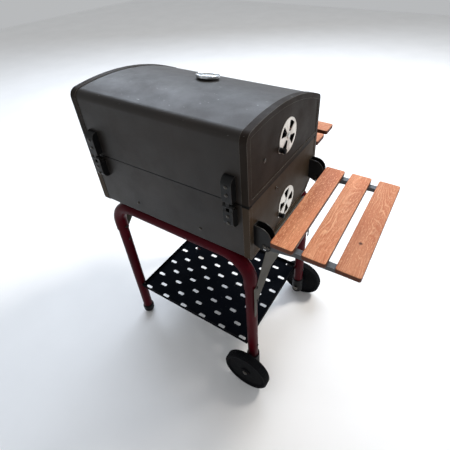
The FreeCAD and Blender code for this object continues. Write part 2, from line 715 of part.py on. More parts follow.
# --------------------------------------------------------------------------------------------
# Lid handle
# --------------------------------------------------------------------------------------------
grip = new_body("lid_handle_grip")
grip_sketch = new_sketch(grip, "YZ_Plane")
draw_circle(grip_sketch, 0, 0, dim("grip_radius"))
pad(grip, grip_sketch, dim("grip_length"), midplane=True)
round_edges(grip, 5, lambda edge: isinstance(edge.Curve, Part.Circle))
socket = new_sketch(grip, "XZ_Plane", dim("grip_radius") / 2 + 1)
for x in POST_X:
    draw_circle(socket, x, 0, dim("post_radius") + dim("running_gap"))
cut(grip, socket, dim("grip_radius") + 2, midplane=True)
GRIP_Y = -WRAP_Y - dim("handle_stand")
place_on_barrel(grip, y=GRIP_Y, z=dim("handle_height"))
exported.append(grip)

stud, nut_far = dim("stud_radius"), -SHEET - 4
post = turned("handle_post", [
    (0, nut_far - 2), (stud, nut_far - 2), (stud, nut_far), (6, nut_far), (6, -SHEET),
    (stud, -SHEET), (stud, 0), (dim("post_foot_radius"), 0),
    (dim("post_foot_radius"), dim("post_foot")), (dim("post_radius"), dim("post_foot") + 3),
    (dim("post_radius"), dim("handle_stand")), (0, dim("handle_stand"))])
exported.append(group("lid_handle_posts", [
    (post, x, -WRAP_Y, dim("handle_height"), TO_FRONT) for x in POST_X]))

# --------------------------------------------------------------------------------------------
# Thermometer: drawn about its own axis, which leans with the lid's top
# --------------------------------------------------------------------------------------------
GAUGE_TILT = FreeCAD.Rotation(X_AXIS, DIMENSIONS["gauge_tilt"])
spindle, stem_radius = dim("spindle_radius"), dim("stem_radius")
gauge_top, bore, lip = dim("gauge_height"), dim("gauge_bore"), dim("gauge_lip")


bezel = turned("thermometer_bezel", [
    (stem_radius + 0.3, 0.5), (dim("gauge_radius") - 3, 0.5), (dim("gauge_radius"), 3.5),
    (dim("gauge_radius"), gauge_top - 3.5, 3.5), (dim("gauge_radius") - 3.5, gauge_top),
    (lip, gauge_top - 1), (lip, gauge_top - 2.5), (bore, gauge_top - 2.5), (bore, 2.5),
    (stem_radius + 0.3, 2.5)])
dial = turned("thermometer_dial", [
    (spindle + 0.3, 2.8), (dim("dial_radius"), 2.8), (dim("dial_radius"), 3.6),
    (spindle + 0.3, 3.6)])
glass = turned("thermometer_glass", [
    (0, gauge_top, -dome_radius(lip - 2, Dim.of(4))), (lip - 2, gauge_top - 4),
    (dim("dial_radius"), gauge_top - 4), (dim("dial_radius"), gauge_top - 2.7),
    (lip - 0.5, gauge_top - 2.7, dome_radius(lip - 0.5, Dim.of(4.2))), (0, gauge_top + 1.5)])
stem = turned("thermometer_stem", [
    (0, -dim("stem_length")), (stem_radius - 1.5, -dim("stem_length")),
    (stem_radius, 2 - dim("stem_length")), (stem_radius, -9), (7, -9), (7, -5),
    (stem_radius, -5), (stem_radius, 2.7), (spindle, 2.7), (spindle, 6), (0, 6)])
needle = new_body("thermometer_needle")
needle_parts = new_sketch(needle, "XY_Plane", 4.5)
draw_circle(needle_parts, 0, 0, 4)
pad(needle, needle_parts, 0.6)
pointer = new_sketch(needle, "XY_Plane", 4.5)
draw_outline(pointer, [(-1.8, -9), (1.8, -9), (0.5, dim("dial_radius") - 5),
                       (-0.5, dim("dial_radius") - 5)])
pad(needle, pointer, 0.6)
drill(needle, "XY_Plane", 4.5, [(0, 0)], spindle + dim("running_gap"), 6)
COLD_END = FreeCAD.Rotation(Z_AXIS, 135)
for piece in (bezel, dial, glass, stem, needle):
    turn = GAUGE_TILT.multiply(COLD_END) if piece is needle else GAUGE_TILT
    place_on_barrel(piece, 0, -dim("gauge_y"), dim("gauge_surface"), turn)
    exported.append(piece)

# --------------------------------------------------------------------------------------------
# Air vents
# --------------------------------------------------------------------------------------------
lift, vent_sheet = dim("vent_lift"), dim("vent_sheet")
ear_y = dim("vent_radius") * cos_deg(dim("vent_ear_angle"))
ear_z = dim("vent_radius") * sin_deg(dim("vent_ear_angle"))
rivet_reach = lift * 2 + vent_sheet
for half, (vent_y, vent_z, window_angle) in VENTS.items():
    disc = new_body(f"{half}_vent_disc")
    for y, z, radius in ((0, 0, dim("vent_radius")), (ear_y, ear_z, dim("vent_ear"))):
        outline = new_sketch(disc, "YZ_Plane", -vent_sheet / 2)
        draw_circle(outline, y, z, radius)
        pad(disc, outline, vent_sheet, midplane=True)
    vent_windows(disc, -vent_sheet / 2, 0, 0, window_angle, 6)
    drill(disc, "YZ_Plane", -vent_sheet / 2, [(0, 0)],
          dim("rivet_radius") + dim("running_gap"), 6)
    drill(disc, "YZ_Plane", -vent_sheet / 2, [(ear_y, ear_z)], 2.1, 6)
    place_on_barrel(disc, -PANEL_X - lift, vent_y, vent_z)
    knob = turned(f"{half}_vent_knob", [
        (0, -vent_sheet), (2, -vent_sheet), (2, 0), (dim("knob_radius"), 0),
        (dim("knob_radius") - 1, 4), (dim("knob_radius"), dim("knob_length") - 4, 4),
        (dim("knob_radius") - 4, dim("knob_length")), (0, dim("knob_length"))])
    place_on_barrel(knob, -PANEL_X - lift - vent_sheet, vent_y + ear_y, vent_z + ear_z, TO_MINUS_X)
    rivet_radius, rivet_head = dim("rivet_radius"), dim("rivet_head")
    rivet = turned(f"{half}_vent_rivet", [
        (0, -SHEET - 1.5), (6, -SHEET - 1.5), (6, -SHEET), (rivet_radius, -SHEET),
        (rivet_radius, rivet_reach), (rivet_head, rivet_reach),
        (rivet_head, rivet_reach + 0.6, dome_radius(rivet_head, Dim.of(2))),
        (0, rivet_reach + 2.6)])
    place_on_barrel(rivet, -PANEL_X, vent_y, vent_z, TO_MINUS_X)
    exported.extend((disc, knob, rivet))


# --------------------------------------------------------------------------------------------
# Grates, ash pan and warming rack
# --------------------------------------------------------------------------------------------
def grate(label, length, depth, thick, slot_length, columns, pitch):
    """A cast plate with three rows of slots that run from front to rear."""
    body = new_body(label)
    plate = new_sketch(body, "XY_Plane")
    draw_rectangle(plate, -length / 2, -depth / 2, length / 2, depth / 2)
    pad(body, plate, thick)
    round_edges(body, 6, lambda edge: along(edge, Z_AXIS))
    column = new_sketch(body, "XY_Plane", thick / 2)
    first = -pitch * (columns - 1) / 2
    for row in (-1, 0, 1):
        draw_slot(column, first, (slot_length + dim("grate_bar")) * row, slot_length,
                  dim("grate_slot"), upright=True)
    slots = cut(body, column, thick * 2, midplane=True)
    repeat_row(body, slots, pitch, columns, column)
    exported.append(body)
    return body


for side, sign in (("left", -1), ("right", 1)):
    half_grate = grate(f"cooking_grate_{side}", dim("grate_length"), dim("grate_depth"),
                       dim("grate_thick"), dim("grate_slot_length"), 15, dim("grate_pitch"))
    place_on_barrel(half_grate, (dim("grate_length") / 2 + 1) * sign, 0,
                    -(dim("grate_drop") + dim("grate_thick")))
coal_grate = grate("charcoal_grate", dim("coal_length"), dim("coal_depth"), dim("coal_thick"),
                   dim("coal_slot_length"), 25, dim("grate_pitch") + 3)
place_on_barrel(coal_grate, 0, 0, REST_TOP)

pan = new_body("ash_pan")
outline = new_sketch(pan, "XY_Plane")
pan_x, pan_y = dim("pan_length") / 2, dim("pan_depth") / 2
draw_rectangle(outline, -pan_x, -pan_y, pan_x, pan_y)
pad(pan, outline, dim("pan_height"))
round_edges(pan, 12, lambda edge: along(edge, Z_AXIS))
shell(pan, 1.2, lambda face: face.BoundBox.ZMin > DIMENSIONS["pan_height"] - 0.01)
place_on_barrel(pan, 0, dim("pan_y"), INSIDE_FLOOR)
exported.append(pan)


def angle_strip(label, width, reach, leg, thick, hangs=True):
    """A folded angle with its corner at the wall, level flange on top."""
    body = new_body(label)
    sketch = new_sketch(body, "YZ_Plane")
    far = -leg if hangs else leg - thick
    near = -thick if hangs else Dim.of(0)
    back = Dim.of(0) if hangs else -thick
    draw_outline(sketch, [(0, far), (0, back), (-reach, back), (-reach, near), (-thick, near),
                          (-thick, far)])
    pad(body, sketch, width, midplane=True)
    return body


HALF_TURN = FreeCAD.Rotation(Z_AXIS, 180)
NO_TURN = FreeCAD.Rotation()
ledge = angle_strip("ledge", dim("ledge_length"), dim("ledge_width"), dim("ledge_leg"), SHEET)
LEDGE_Z = -(dim("grate_drop") + dim("grate_thick"))
exported.append(group("grate_ledges", [
    (ledge, 0, INSIDE_Y, LEDGE_Z, NO_TURN), (ledge, 0, -INSIDE_Y, LEDGE_Z, HALF_TURN)]))
rests = []
for name, hangs, sign, turn in (("rest_rear", True, 1, NO_TURN), ("rest_front", False, -1, HALF_TURN)):
    rest = angle_strip(name, dim("rest_width"), dim("rest_reach"), dim("rest_leg"),
                       dim("rest_sheet"), hangs)
    hole_z = -REST_BOLT if hangs else REST_BOLT
    drill(rest, "XZ_Plane", 0, [(0, hole_z)], BOLT_HOLE, 10)
    rests += [(rest, x, INSIDE_Y * sign, REST_TOP, turn) for x in REST_X]
exported.append(group("charcoal_grate_rests", rests))

rack = new_body("warming_rack")
rack_end = dim("rack_length") / 2
rods = new_sketch(rack, "YZ_Plane")
for step in range(-4, 5):
    draw_circle(rods, dim("rack_half") * step / 4, -dim("rack_fall"), dim("rack_rod"))
pad(rack, rods, dim("rack_length"), midplane=True)
edge_y, foot_z = dim("rack_half") + 4, -dim("rack_fall") - 4
for sign in (-1, 1):
    hanger = new_sketch(rack, "YZ_Plane", (rack_end - dim("rack_plate") / 2) * sign)
    draw_outline(hanger, [(-edge_y, foot_z), (edge_y, foot_z), (edge_y, foot_z + 9), (9, 8),
                          (-9, 8), (-edge_y, foot_z + 9)])
    pad(rack, hanger, dim("rack_plate"), midplane=True)
    drill(rack, "YZ_Plane", rack_end * sign, [(0, 0)],
          dim("bolt_radius") + dim("running_gap"), 10)
place_on_barrel(rack, 0, *RACK_PIVOT)
exported.append(rack)
shank, near = dim("bolt_radius"), rack_end - PANEL_X
rack_bolt = turned("rack_bolt", [
    (0, near - 7), (shank, near - 7), (shank, near - 6), (5, near - 6), (5, near - 3),
    (shank, near - 3), (shank, near + 0.5), (4, near + 0.5), (4, -SHEET), (shank, -SHEET),
    (shank, 0), (6, 0), (6, 1, dome_radius(Dim.of(6), Dim.of(2.2))), (0, 3.2)])
exported.append(group("warming_rack_bolts", [
    (rack_bolt, PANEL_X, *RACK_PIVOT, TO_PLUS_X), (rack_bolt, -PANEL_X, *RACK_PIVOT, TO_MINUS_X)]))

# --------------------------------------------------------------------------------------------
# Frame: two bent tubes, four legs, feet, braces
# --------------------------------------------------------------------------------------------
leg_x, leg_y, bend = dim("leg_x"), dim("leg_y"), dim("tube_bend")
foot_z, knee_z = -dim("tube_foot_drop"), RAIL_Z - bend
BRACE_BOLT_Z = (-dim("brace_bolt_high"), -dim("brace_bolt_low"))
SHELF_Z = -dim("shelf_drop")
SHELF_BOLT_Z = SHELF_Z + dim("shelf_lip") / 2
for side, sign in (("rear", 1), ("front", -1)):
    tube = new_body(f"frame_tube_{side}")
    path = new_sketch(tube, "XZ_Plane")
    draw_outline(path, [
        (leg_x, foot_z), (leg_x, knee_z, bend), (leg_x - bend, RAIL_Z), (bend - leg_x, RAIL_Z, bend),
        (-leg_x, knee_z), (-leg_x, foot_z)], closed=False)
    ring = new_sketch(tube, "XY_Plane", foot_z)
    draw_circle(ring, leg_x, 0, dim("tube_radius"))
    draw_circle(ring, leg_x, 0, dim("tube_radius") - dim("tube_wall"))
    swept = feature(tube, "AdditivePipe", ring)
    swept.Spine = path
    doc.recompute()
    for end in (-1, 1):
        drill(tube, "YZ_Plane", leg_x * end, [(0, BRACE_BOLT_Z[0])], BOLT_HOLE, 60)
    place_on_barrel(tube, y=leg_y * sign)
    exported.append(tube)


def lower_leg(name, bottom):
    """A straight tube that slides up into the bent tube."""
    body = new_body(name)
    top = foot_z + dim("leg_overlap")
    ring = new_sketch(body, "XY_Plane", (top + bottom) / 2)
    draw_circle(ring, 0, 0, dim("leg_radius"))
    draw_circle(ring, 0, 0, dim("leg_radius") - dim("leg_wall"))
    pad(body, ring, top - bottom, midplane=True)
    drill(body, "YZ_Plane", 0, [(0, z) for z in (*BRACE_BOLT_Z, SHELF_BOLT_Z)], BOLT_HOLE, 60)
    return body


def at_corners(master, x, z, turn=NO_TURN):
    return [(master, x, leg_y * sign, z, turn) for sign in (1, -1)]


GROUND = -dim("split_height")
BOOT_Z = AXLE_Z - dim("boot_below_axle")
plain_leg = lower_leg("plain_leg", GROUND + dim("foot_sole"))
wheel_leg = lower_leg("wheel_leg", BOOT_Z + dim("boot_floor"))
axle_hole = dim("axle_radius") + dim("bolt_clear")
drill(wheel_leg, "XZ_Plane", 0, [(0, AXLE_Z)], axle_hole, 60)
exported.append(group("plain_end_legs", at_corners(plain_leg, leg_x, 0)))
exported.append(group("wheel_end_legs", at_corners(wheel_leg, -leg_x, 0)))

socket_radius = dim("leg_radius") + dim("bolt_clear")
foot = turned("foot", [
    (0, 0), (9, 0, 24), (dim("foot_radius"), 21), (dim("foot_radius"), 30, 24),
    (socket_radius + 0.8, dim("foot_height")), (socket_radius, dim("foot_height")),
    (socket_radius, dim("foot_sole")), (0, dim("foot_sole"))])
exported.append(group("foot_caps", at_corners(foot, leg_x, GROUND)))
boot = turned("boot", [
    (0, 0), (dim("boot_radius") - 4, 0, 4), (dim("boot_radius"), 4),
    (dim("boot_radius"), dim("boot_height") - 2), (dim("boot_radius") - 1.5, dim("boot_height")),
    (socket_radius, dim("boot_height")), (socket_radius, dim("boot_floor")),
    (0, dim("boot_floor"))])
drill(boot, "XZ_Plane", 0, [(0, dim("boot_below_axle"))], axle_hole, 60)
exported.append(group("leg_boots", at_corners(boot, -leg_x, BOOT_Z)))

FLOOR_Z = -dim("base_height")
ARCH_CORNER = (dim("brace_arch"), -dim("brace_arch_drop"))
TOP_CORNER = (dim("brace_top"), FLOOR_Z)
# For each end: half of the plate's outline in Y and Z, and its rounded corners. At the vent end
# a narrow tail runs down along each leg.
BRACES = {
    "vent": ([
        ARCH_CORNER,
        (dim("brace_edge") - dim("brace_tail"), -dim("brace_elbow_drop")),
        (dim("brace_edge") - dim("brace_tail"), -dim("brace_tail_drop")),
        (dim("brace_edge"), -dim("brace_tail_drop")),
        (dim("brace_edge"), -dim("brace_shoulder_drop")),
        (leg_y + 4, -dim("brace_shoulder_drop")), TOP_CORNER],
        ((0, 24), (1, 12), (5, 8), (6, 10))),
    "plain": ([
        ARCH_CORNER,
        (dim("plain_brace_edge") - dim("plain_brace_foot"), -dim("plain_brace_drop")),
        (dim("plain_brace_edge"), -dim("plain_brace_drop")),
        (dim("plain_brace_edge"), -dim("brace_shoulder_drop")), TOP_CORNER],
        ((0, 24), (1, 6), (3, 8), (4, 10))),
}
for end, sign in ENDS:
    brace = new_body(f"end_brace_{end}_end")
    outline = new_sketch(brace, "YZ_Plane", (BRACE_X + SHEET / 2) * sign)
    half_outline, bends = BRACES[end]
    draw_outline(outline, half_outline + [(-y, z) for y, z in reversed(half_outline)])
    pad(brace, outline, SHEET, midplane=True)
    for index, radius in bends:
        corner = half_outline[index]
        round_edges(brace, radius, lambda edge: along_x(edge)
                    and abs(abs(edge.Vertexes[0].Y) - corner[0].value) < 0.01
                    and abs(edge.Vertexes[0].Z - corner[1].value) < 0.01)
    flange = new_sketch(brace, "YZ_Plane", (BRACE_FACE_X - dim("brace_flange") / 2) * sign)
    draw_rectangle(flange, -dim("brace_flange_half"), FLOOR_Z - SHEET,
                   dim("brace_flange_half"), FLOOR_Z)
    pad(brace, flange, dim("brace_flange"), midplane=True)
    drill(brace, "YZ_Plane", BRACE_X * sign,
          [(leg_y * side, z) for side in (1, -1) for z in BRACE_BOLT_Z], BOLT_HOLE, 10)
    drill(brace, "XY_Plane", FLOOR_Z,
          [(dim("floor_bolt_x") * sign, dim("floor_bolt_y") * side) for side in (1, -1)],
          BOLT_HOLE, 10)
    place_on_barrel(brace)
    exported.append(brace)

shelf = new_body("bottom_shelf")
shelf_x, shelf_y, lip_height = SHELF_X - 0.2, dim("shelf_half_y"), dim("shelf_lip")
for inset, make, middle, height in (
        (0, pad, SHELF_Z + (lip_height - SHEET) / 2, lip_height + SHEET),
        (SHEET, cut, SHELF_Z + lip_height, lip_height * 2)):
    outline = new_sketch(shelf, "XY_Plane", middle)
    draw_rectangle(outline, -shelf_x + inset, -shelf_y + inset, shelf_x - inset, shelf_y - inset)
    make(shelf, outline, height, midplane=True)
for slots, rows, first_y in ((6, 6, dim("slot_pitch_y") * 5), (5, 5, dim("slot_pitch_y") * 4)):
    row = new_sketch(shelf, "XY_Plane", SHELF_Z - SHEET / 2)
    for number in range(slots):
        draw_slot(row, dim("slot_pitch_x") * (number - (slots - 1) / 2), first_y,
                  dim("slot_length"), dim("slot_width"))
    first_row = cut(shelf, row, SHEET * 2, midplane=True)
    repeated = repeat_row(shelf, first_row, dim("slot_pitch_y") * 2, rows, row, "V_Axis")
    repeated.Reversed = True
    doc.recompute()
for sign in (-1, 1):
    drill(shelf, "YZ_Plane", shelf_x * sign, [(leg_y * side, SHELF_BOLT_Z) for side in (1, -1)],
          BOLT_HOLE, 10)
place_on_barrel(shelf)
exported.append(shelf)

brace_bolts = [bolt(name, BRACE_FACE_X - leg_x + radius, *HEAD) for name, radius in (
    ("brace_bolt_high", dim("tube_radius")), ("brace_bolt_low", dim("leg_radius")))]
floor_bolt = bolt("floor_bolt", INSIDE_FLOOR - FLOOR_Z + SHEET, *HEAD)
shelf_bolt = bolt("shelf_bolt", leg_x + dim("leg_radius") - shelf_x + SHEET, *HEAD)
frame_bolts = []
for sign, turn in ((1, TO_PLUS_X), (-1, TO_MINUS_X)):
    for master, z in zip(brace_bolts, BRACE_BOLT_Z):
        frame_bolts += at_corners(master, BRACE_FACE_X * sign, z, turn)
    frame_bolts += at_corners(shelf_bolt, (leg_x + dim("leg_radius")) * sign, SHELF_BOLT_Z, turn)
    frame_bolts += [(floor_bolt, dim("floor_bolt_x") * sign, dim("floor_bolt_y") * side,
                     FLOOR_Z - SHEET, TO_FLOOR) for side in (1, -1)]
exported.append(group("frame_bolts", frame_bolts))

# --------------------------------------------------------------------------------------------
# Wheels
# --------------------------------------------------------------------------------------------
WHEEL_OUT = dim("wheel_y") - leg_y
wheel_half, wheel_radius = dim("wheel_width") / 2, dim("wheel_radius")
axle = turned("axle", [
    (0, -dim("boot_radius") - 5), (10, -dim("boot_radius") - 5), (10, -dim("boot_radius")),
    (dim("axle_radius"), -dim("boot_radius")), (dim("axle_radius"), dim("boot_radius")),
    (dim("axle_shoulder"), dim("boot_radius")),
    (dim("axle_shoulder"), WHEEL_OUT - wheel_half - dim("axle_end_gap")),
    (dim("axle_radius"), WHEEL_OUT - wheel_half - dim("axle_end_gap")),
    (dim("axle_radius"), WHEEL_OUT + wheel_half + dim("axle_end_gap")),
    (dim("axle_cap"), WHEEL_OUT + wheel_half + dim("axle_end_gap")),
    (dim("axle_cap"), WHEEL_OUT + wheel_half + 2,
     dome_radius(dim("axle_cap"), Dim.of(3.5))),
    (0, WHEEL_OUT + wheel_half + 5.5)])
exported.append(group("axle_bolts", [
    (axle, -leg_x, leg_y, AXLE_Z, TO_REAR), (axle, -leg_x, -leg_y, AXLE_Z, TO_FRONT)]))
for side, sign in (("rear", 1), ("front", -1)):
    bore_radius = dim("axle_radius") + dim("running_gap")
    rim_radius, dish = wheel_radius - dim("wheel_rim"), wheel_half - dim("wheel_dish")
    half_profile = [
        (bore_radius, wheel_half), (dim("hub_radius"), wheel_half),
        (dim("hub_radius") + 2, dish), (rim_radius - 3, dish), (rim_radius, wheel_half - 1),
        (rim_radius + 3, wheel_half), (wheel_radius - 4, wheel_half),
        (wheel_radius, wheel_half - 4)]
    wheel = turned(f"wheel_{side}",
                   [(radius, -z) for radius, z in half_profile] + half_profile[::-1])
    groove = new_sketch(wheel, "XY_Plane")
    draw_rectangle(groove, wheel_radius - dim("tread_depth"), -dim("tread_width") / 2,
                   wheel_radius + 2, dim("tread_width") / 2)
    groove_cut = cut(wheel, groove, dim("wheel_width") + 2, midplane=True)
    repeat_round(wheel, groove_cut, 48, (groove, ["N_Axis"]))
    place_on_barrel(wheel, -leg_x, dim("wheel_y") * sign, AXLE_Z, TO_REAR)
    exported.append(wheel)


# --------------------------------------------------------------------------------------------
# Side shelf: folds down about a pivot in two brackets on the vent end
# --------------------------------------------------------------------------------------------
def slat(label, size_x, size_y, screw_points):
    body = new_body(label)
    board = new_sketch(body, "XY_Plane")
    draw_rectangle(board, -size_x / 2, -size_y / 2, size_x / 2, size_y / 2)
    pad(body, board, dim("slat_thick"))
    round_edges(body, dim("slat_round"), lambda edge: along(edge, Z_AXIS))
    round_edges(body, 1.6, lambda edge: edge_at(edge, z=dim("slat_thick")))
    drill(body, "XY_Plane", 0, screw_points, dim("screw_radius") + 0.05, dim("screw_length") * 2)
    exported.append(body)
    return body


PIVOT_X, PIVOT_Z = -dim("pivot_x"), -dim("pivot_drop")
STOP = (PIVOT_X - dim("stop_radius"), PIVOT_Z)
SLAT_FOOT = -(dim("side_slat_drop") + dim("slat_thick"))
SLAT_STEP = dim("slat_width") + dim("slat_gap")
SLAT_X = [-(dim("side_slat_x") + dim("slat_width") / 2 + SLAT_STEP * number) for number in range(3)]
EAR_X = PIVOT_X - dim("ear_reach")
CLEVIS = dim("arm_width") + dim("ear_gap") * 2
pivot_hole = dim("pivot_radius") + dim("running_gap")
slot_half = dim("bolt_radius") + dim("bolt_clear")

bracket = new_body("side_bracket")
ears = new_sketch(bracket, "XZ_Plane")
draw_outline(ears, [
    (-PANEL_X, -dim("ear_top")), (EAR_X + dim("ear_round"), -dim("ear_top"), dim("ear_round")),
    (EAR_X, -dim("ear_top") - dim("ear_round")), (EAR_X, PIVOT_Z, dim("ear_reach")),
    (PIVOT_X, PIVOT_Z - dim("ear_reach")), (-PANEL_X, -dim("ear_bottom"))])
pad(bracket, ears, CLEVIS + dim("ear_sheet") * 2, midplane=True)
opening = new_sketch(bracket, "XZ_Plane")
draw_rectangle(opening, EAR_X - 5, -dim("ear_bottom") - 30, -PANEL_X - dim("ear_sheet"), 0)
cut(bracket, opening, CLEVIS, midplane=True)
drill(bracket, "XZ_Plane", 0, [(PIVOT_X, PIVOT_Z)], pivot_hole, 60)
drill(bracket, "YZ_Plane", -PANEL_X, [(0, z) for z in BRACKET_BOLTS], BOLT_HOLE, 10)
stop_slot = new_sketch(bracket, "XZ_Plane", 0, PIVOT_X, PIVOT_Z)
draw_sector(stop_slot, dim("stop_radius") - slot_half, dim("stop_radius") + slot_half, 225, 59)
cut(bracket, stop_slot, 60, midplane=True)
exported.append(group("side_shelf_brackets", [
    (bracket, 0, dim("arm_y") * side, 0, NO_TURN) for side in (1, -1)]))

for side, sign in (("rear", 1), ("front", -1)):
    arm = new_body(f"side_shelf_arm_{side}")
    web = new_sketch(arm, "XZ_Plane")
    draw_outline(web, [
        (PIVOT_X + 8, SLAT_FOOT), (-dim("arm_tip"), SLAT_FOOT),
        (-dim("arm_tip"), SLAT_FOOT - dim("arm_tip_depth")),
        (-dim("arm_knee_x"), SLAT_FOOT - dim("arm_knee_depth")),
        (PIVOT_X, PIVOT_Z - dim("arm_root"), dim("arm_root")),
        (PIVOT_X + dim("arm_root"), PIVOT_Z)])
    pad(arm, web, dim("arm_width"), midplane=True)
    trough = new_sketch(arm, "XZ_Plane")
    draw_rectangle(trough, -dim("arm_tip") - 5, PIVOT_Z - 30, PIVOT_X + 30, SLAT_FOOT - SHEET)
    cut(arm, trough, dim("arm_width") - SHEET * 2, midplane=True)
    drill(arm, "XZ_Plane", 0, [(PIVOT_X, PIVOT_Z)], pivot_hole, 60)
    drill(arm, "XZ_Plane", 0, [STOP], BOLT_HOLE, 60)
    drill(arm, "XY_Plane", SLAT_FOOT, [(x, 0) for x in SLAT_X], dim("screw_radius") + 0.3, 10)
    place_on_barrel(arm, y=dim("arm_y") * sign)
    exported.append(arm)

ARM_POINTS = [(0, dim("arm_y")), (0, -dim("arm_y"))]
for name, x in zip(("inner", "middle", "outer"), SLAT_X):
    board = slat(f"side_shelf_slat_{name}", dim("slat_width"), dim("slat_length"), ARM_POINTS)
    place_on_barrel(board, x=x, z=SLAT_FOOT)

clevis_half = CLEVIS / 2 + dim("ear_sheet")
pivot_bolt = bolt("pivot_bolt", clevis_half * 2, dim("pivot_radius"), 6.5, 4)
stop_bolt = bolt("stop_bolt", clevis_half * 2 + 0.8, *HEAD)
screw = bolt("screw", dim("screw_length") - dim("nut_height") - 1, dim("screw_radius"),
             dim("screw_head"), 2.2, nut=False)
REAR_AND_FRONT = ((1, TO_REAR), (-1, TO_FRONT))
exported.append(group("side_shelf_pivot_bolts", [
    (pivot_bolt, PIVOT_X, (dim("arm_y") + clevis_half) * sign, PIVOT_Z, turn)
    for sign, turn in REAR_AND_FRONT]))
exported.append(group("side_shelf_fasteners", [
    (stop_bolt, STOP[0], (dim("arm_y") + clevis_half + 0.4) * sign, STOP[1], turn)
    for sign, turn in REAR_AND_FRONT] + [
    (screw, x, dim("arm_y") * sign, SLAT_FOOT - SHEET, TO_FLOOR) for x in SLAT_X for sign in (1, -1)]))

# --------------------------------------------------------------------------------------------
# Front shelf
# --------------------------------------------------------------------------------------------
FRONT_SLAT_Y = [-(dim("front_slat_y") + dim("slat_width") / 2 + SLAT_STEP * number)
                for number in range(2)]
FRONT_TIP_Y = FRONT_SLAT_Y[1] - dim("slat_width") / 2 + 5
front_width = dim("front_bracket_width")
front_bracket = new_body("front_bracket")
gusset = new_sketch(front_bracket, "YZ_Plane")
draw_outline(gusset, [
    (-WRAP_Y, FRONT_SLAT_FOOT), (FRONT_TIP_Y, FRONT_SLAT_FOOT), (FRONT_TIP_Y, FRONT_SLAT_FOOT - 11),
    (-WRAP_Y - 4, FRONT_SLAT_FOOT - dim("front_bracket_depth")),
    (-WRAP_Y, FRONT_SLAT_FOOT - dim("front_bracket_depth"))])
pad(front_bracket, gusset, front_width, midplane=True)
inside = new_sketch(front_bracket, "YZ_Plane")
draw_rectangle(inside, FRONT_TIP_Y - 5, FRONT_SLAT_FOOT - dim("front_bracket_depth") - 5,
               -WRAP_Y - dim("ear_sheet"), FRONT_SLAT_FOOT - SHEET)
cut(front_bracket, inside, front_width - SHEET * 2, midplane=True)
drill(front_bracket, "XZ_Plane", -WRAP_Y, [(0, z) for z in FRONT_BOLT_Z], BOLT_HOLE, 10)
drill(front_bracket, "XY_Plane", FRONT_SLAT_FOOT, [(0, y) for y in FRONT_SLAT_Y],
      dim("screw_radius") + 0.3, 10)
exported.append(group("front_shelf_brackets", [
    (front_bracket, x, 0, 0, NO_TURN) for x in BRACKET_X]))
for name, y in zip(("inner", "outer"), FRONT_SLAT_Y):
    board = slat(f"front_shelf_slat_{name}", dim("barrel_length"), dim("slat_width"),
                 [(x, 0) for x in BRACKET_X])
    place_on_barrel(board, y=y, z=FRONT_SLAT_FOOT)
exported.append(group("front_shelf_screws", [
    (screw, x, y, FRONT_SLAT_FOOT - SHEET, TO_FLOOR) for x in BRACKET_X for y in FRONT_SLAT_Y]))

# --------------------------------------------------------------------------------------------
# Check and write
# --------------------------------------------------------------------------------------------
doc.recompute()
for item in doc.Objects:
    if "Invalid" in item.State or "Error" in item.State:
        raise RuntimeError(f"{item.Label}: {item.State}")
os.makedirs("parts", exist_ok=True)
for item in exported:
    if item.Shape.isNull() or not item.Shape.isValid():
        raise RuntimeError(f"{item.Label}: the shape is not valid")
    item.Shape.exportStep(f"parts/{item.Label}.step")
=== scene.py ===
"""Looks of a charcoal barrel grill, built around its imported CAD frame. Metres, CAD frame."""

import bmesh
import bpy
import json
import math
from mathutils import Matrix, Vector, noise as field


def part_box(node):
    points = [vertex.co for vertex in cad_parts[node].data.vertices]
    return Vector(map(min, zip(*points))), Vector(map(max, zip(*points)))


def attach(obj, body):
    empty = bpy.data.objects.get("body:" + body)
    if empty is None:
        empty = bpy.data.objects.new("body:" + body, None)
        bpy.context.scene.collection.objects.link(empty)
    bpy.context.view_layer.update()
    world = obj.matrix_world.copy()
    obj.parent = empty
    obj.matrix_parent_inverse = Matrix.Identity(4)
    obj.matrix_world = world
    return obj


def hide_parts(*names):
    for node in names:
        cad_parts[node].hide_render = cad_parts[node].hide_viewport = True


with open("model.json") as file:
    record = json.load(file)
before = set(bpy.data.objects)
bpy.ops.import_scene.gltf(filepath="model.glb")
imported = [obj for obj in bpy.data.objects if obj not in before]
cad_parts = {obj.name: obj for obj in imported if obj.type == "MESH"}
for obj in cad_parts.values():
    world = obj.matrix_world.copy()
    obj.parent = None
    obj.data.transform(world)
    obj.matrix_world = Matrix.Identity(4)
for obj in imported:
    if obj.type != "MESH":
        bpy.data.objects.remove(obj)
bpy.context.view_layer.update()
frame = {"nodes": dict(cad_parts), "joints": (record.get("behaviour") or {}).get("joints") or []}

# --------------------------------------------------------------------------------------------
# Places taken from the frame
# --------------------------------------------------------------------------------------------
MM = 0.001
UP = Vector((0, 0, 1))
wrap_low, wrap_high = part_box("base_wrap")
# The middle of the barrel, at the height of the gap between base and lid
SPLIT = Vector(((wrap_low.x + wrap_high.x) / 2, (wrap_low.y + wrap_high.y) / 2,
                wrap_high.z + 1 * MM))
BARREL_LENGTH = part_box("base_cap_plain_end")[1].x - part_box("base_cap_vent_end")[0].x
JOINTS = {joint["name"]: joint for joint in frame["joints"]}


def linear(red, green, blue):
    """A display colour, 0 to 255, as scene-linear values."""
    def curve(value):
        value /= 255
        return value / 12.92 if value <= 0.04045 else ((value + 0.055) / 1.055) ** 2.4
    return (curve(red), curve(green), curve(blue), 1.0)


def shaded(colour, share):
    """A scene-linear colour made lighter or darker."""
    return tuple(channel * share for channel in colour[:3]) + (1.0,)


def facing(place, axis):
    """The turn and shift that take Z to an axis through a place."""
    return Matrix.Translation(place) @ UP.rotation_difference(axis).to_matrix().to_4x4()


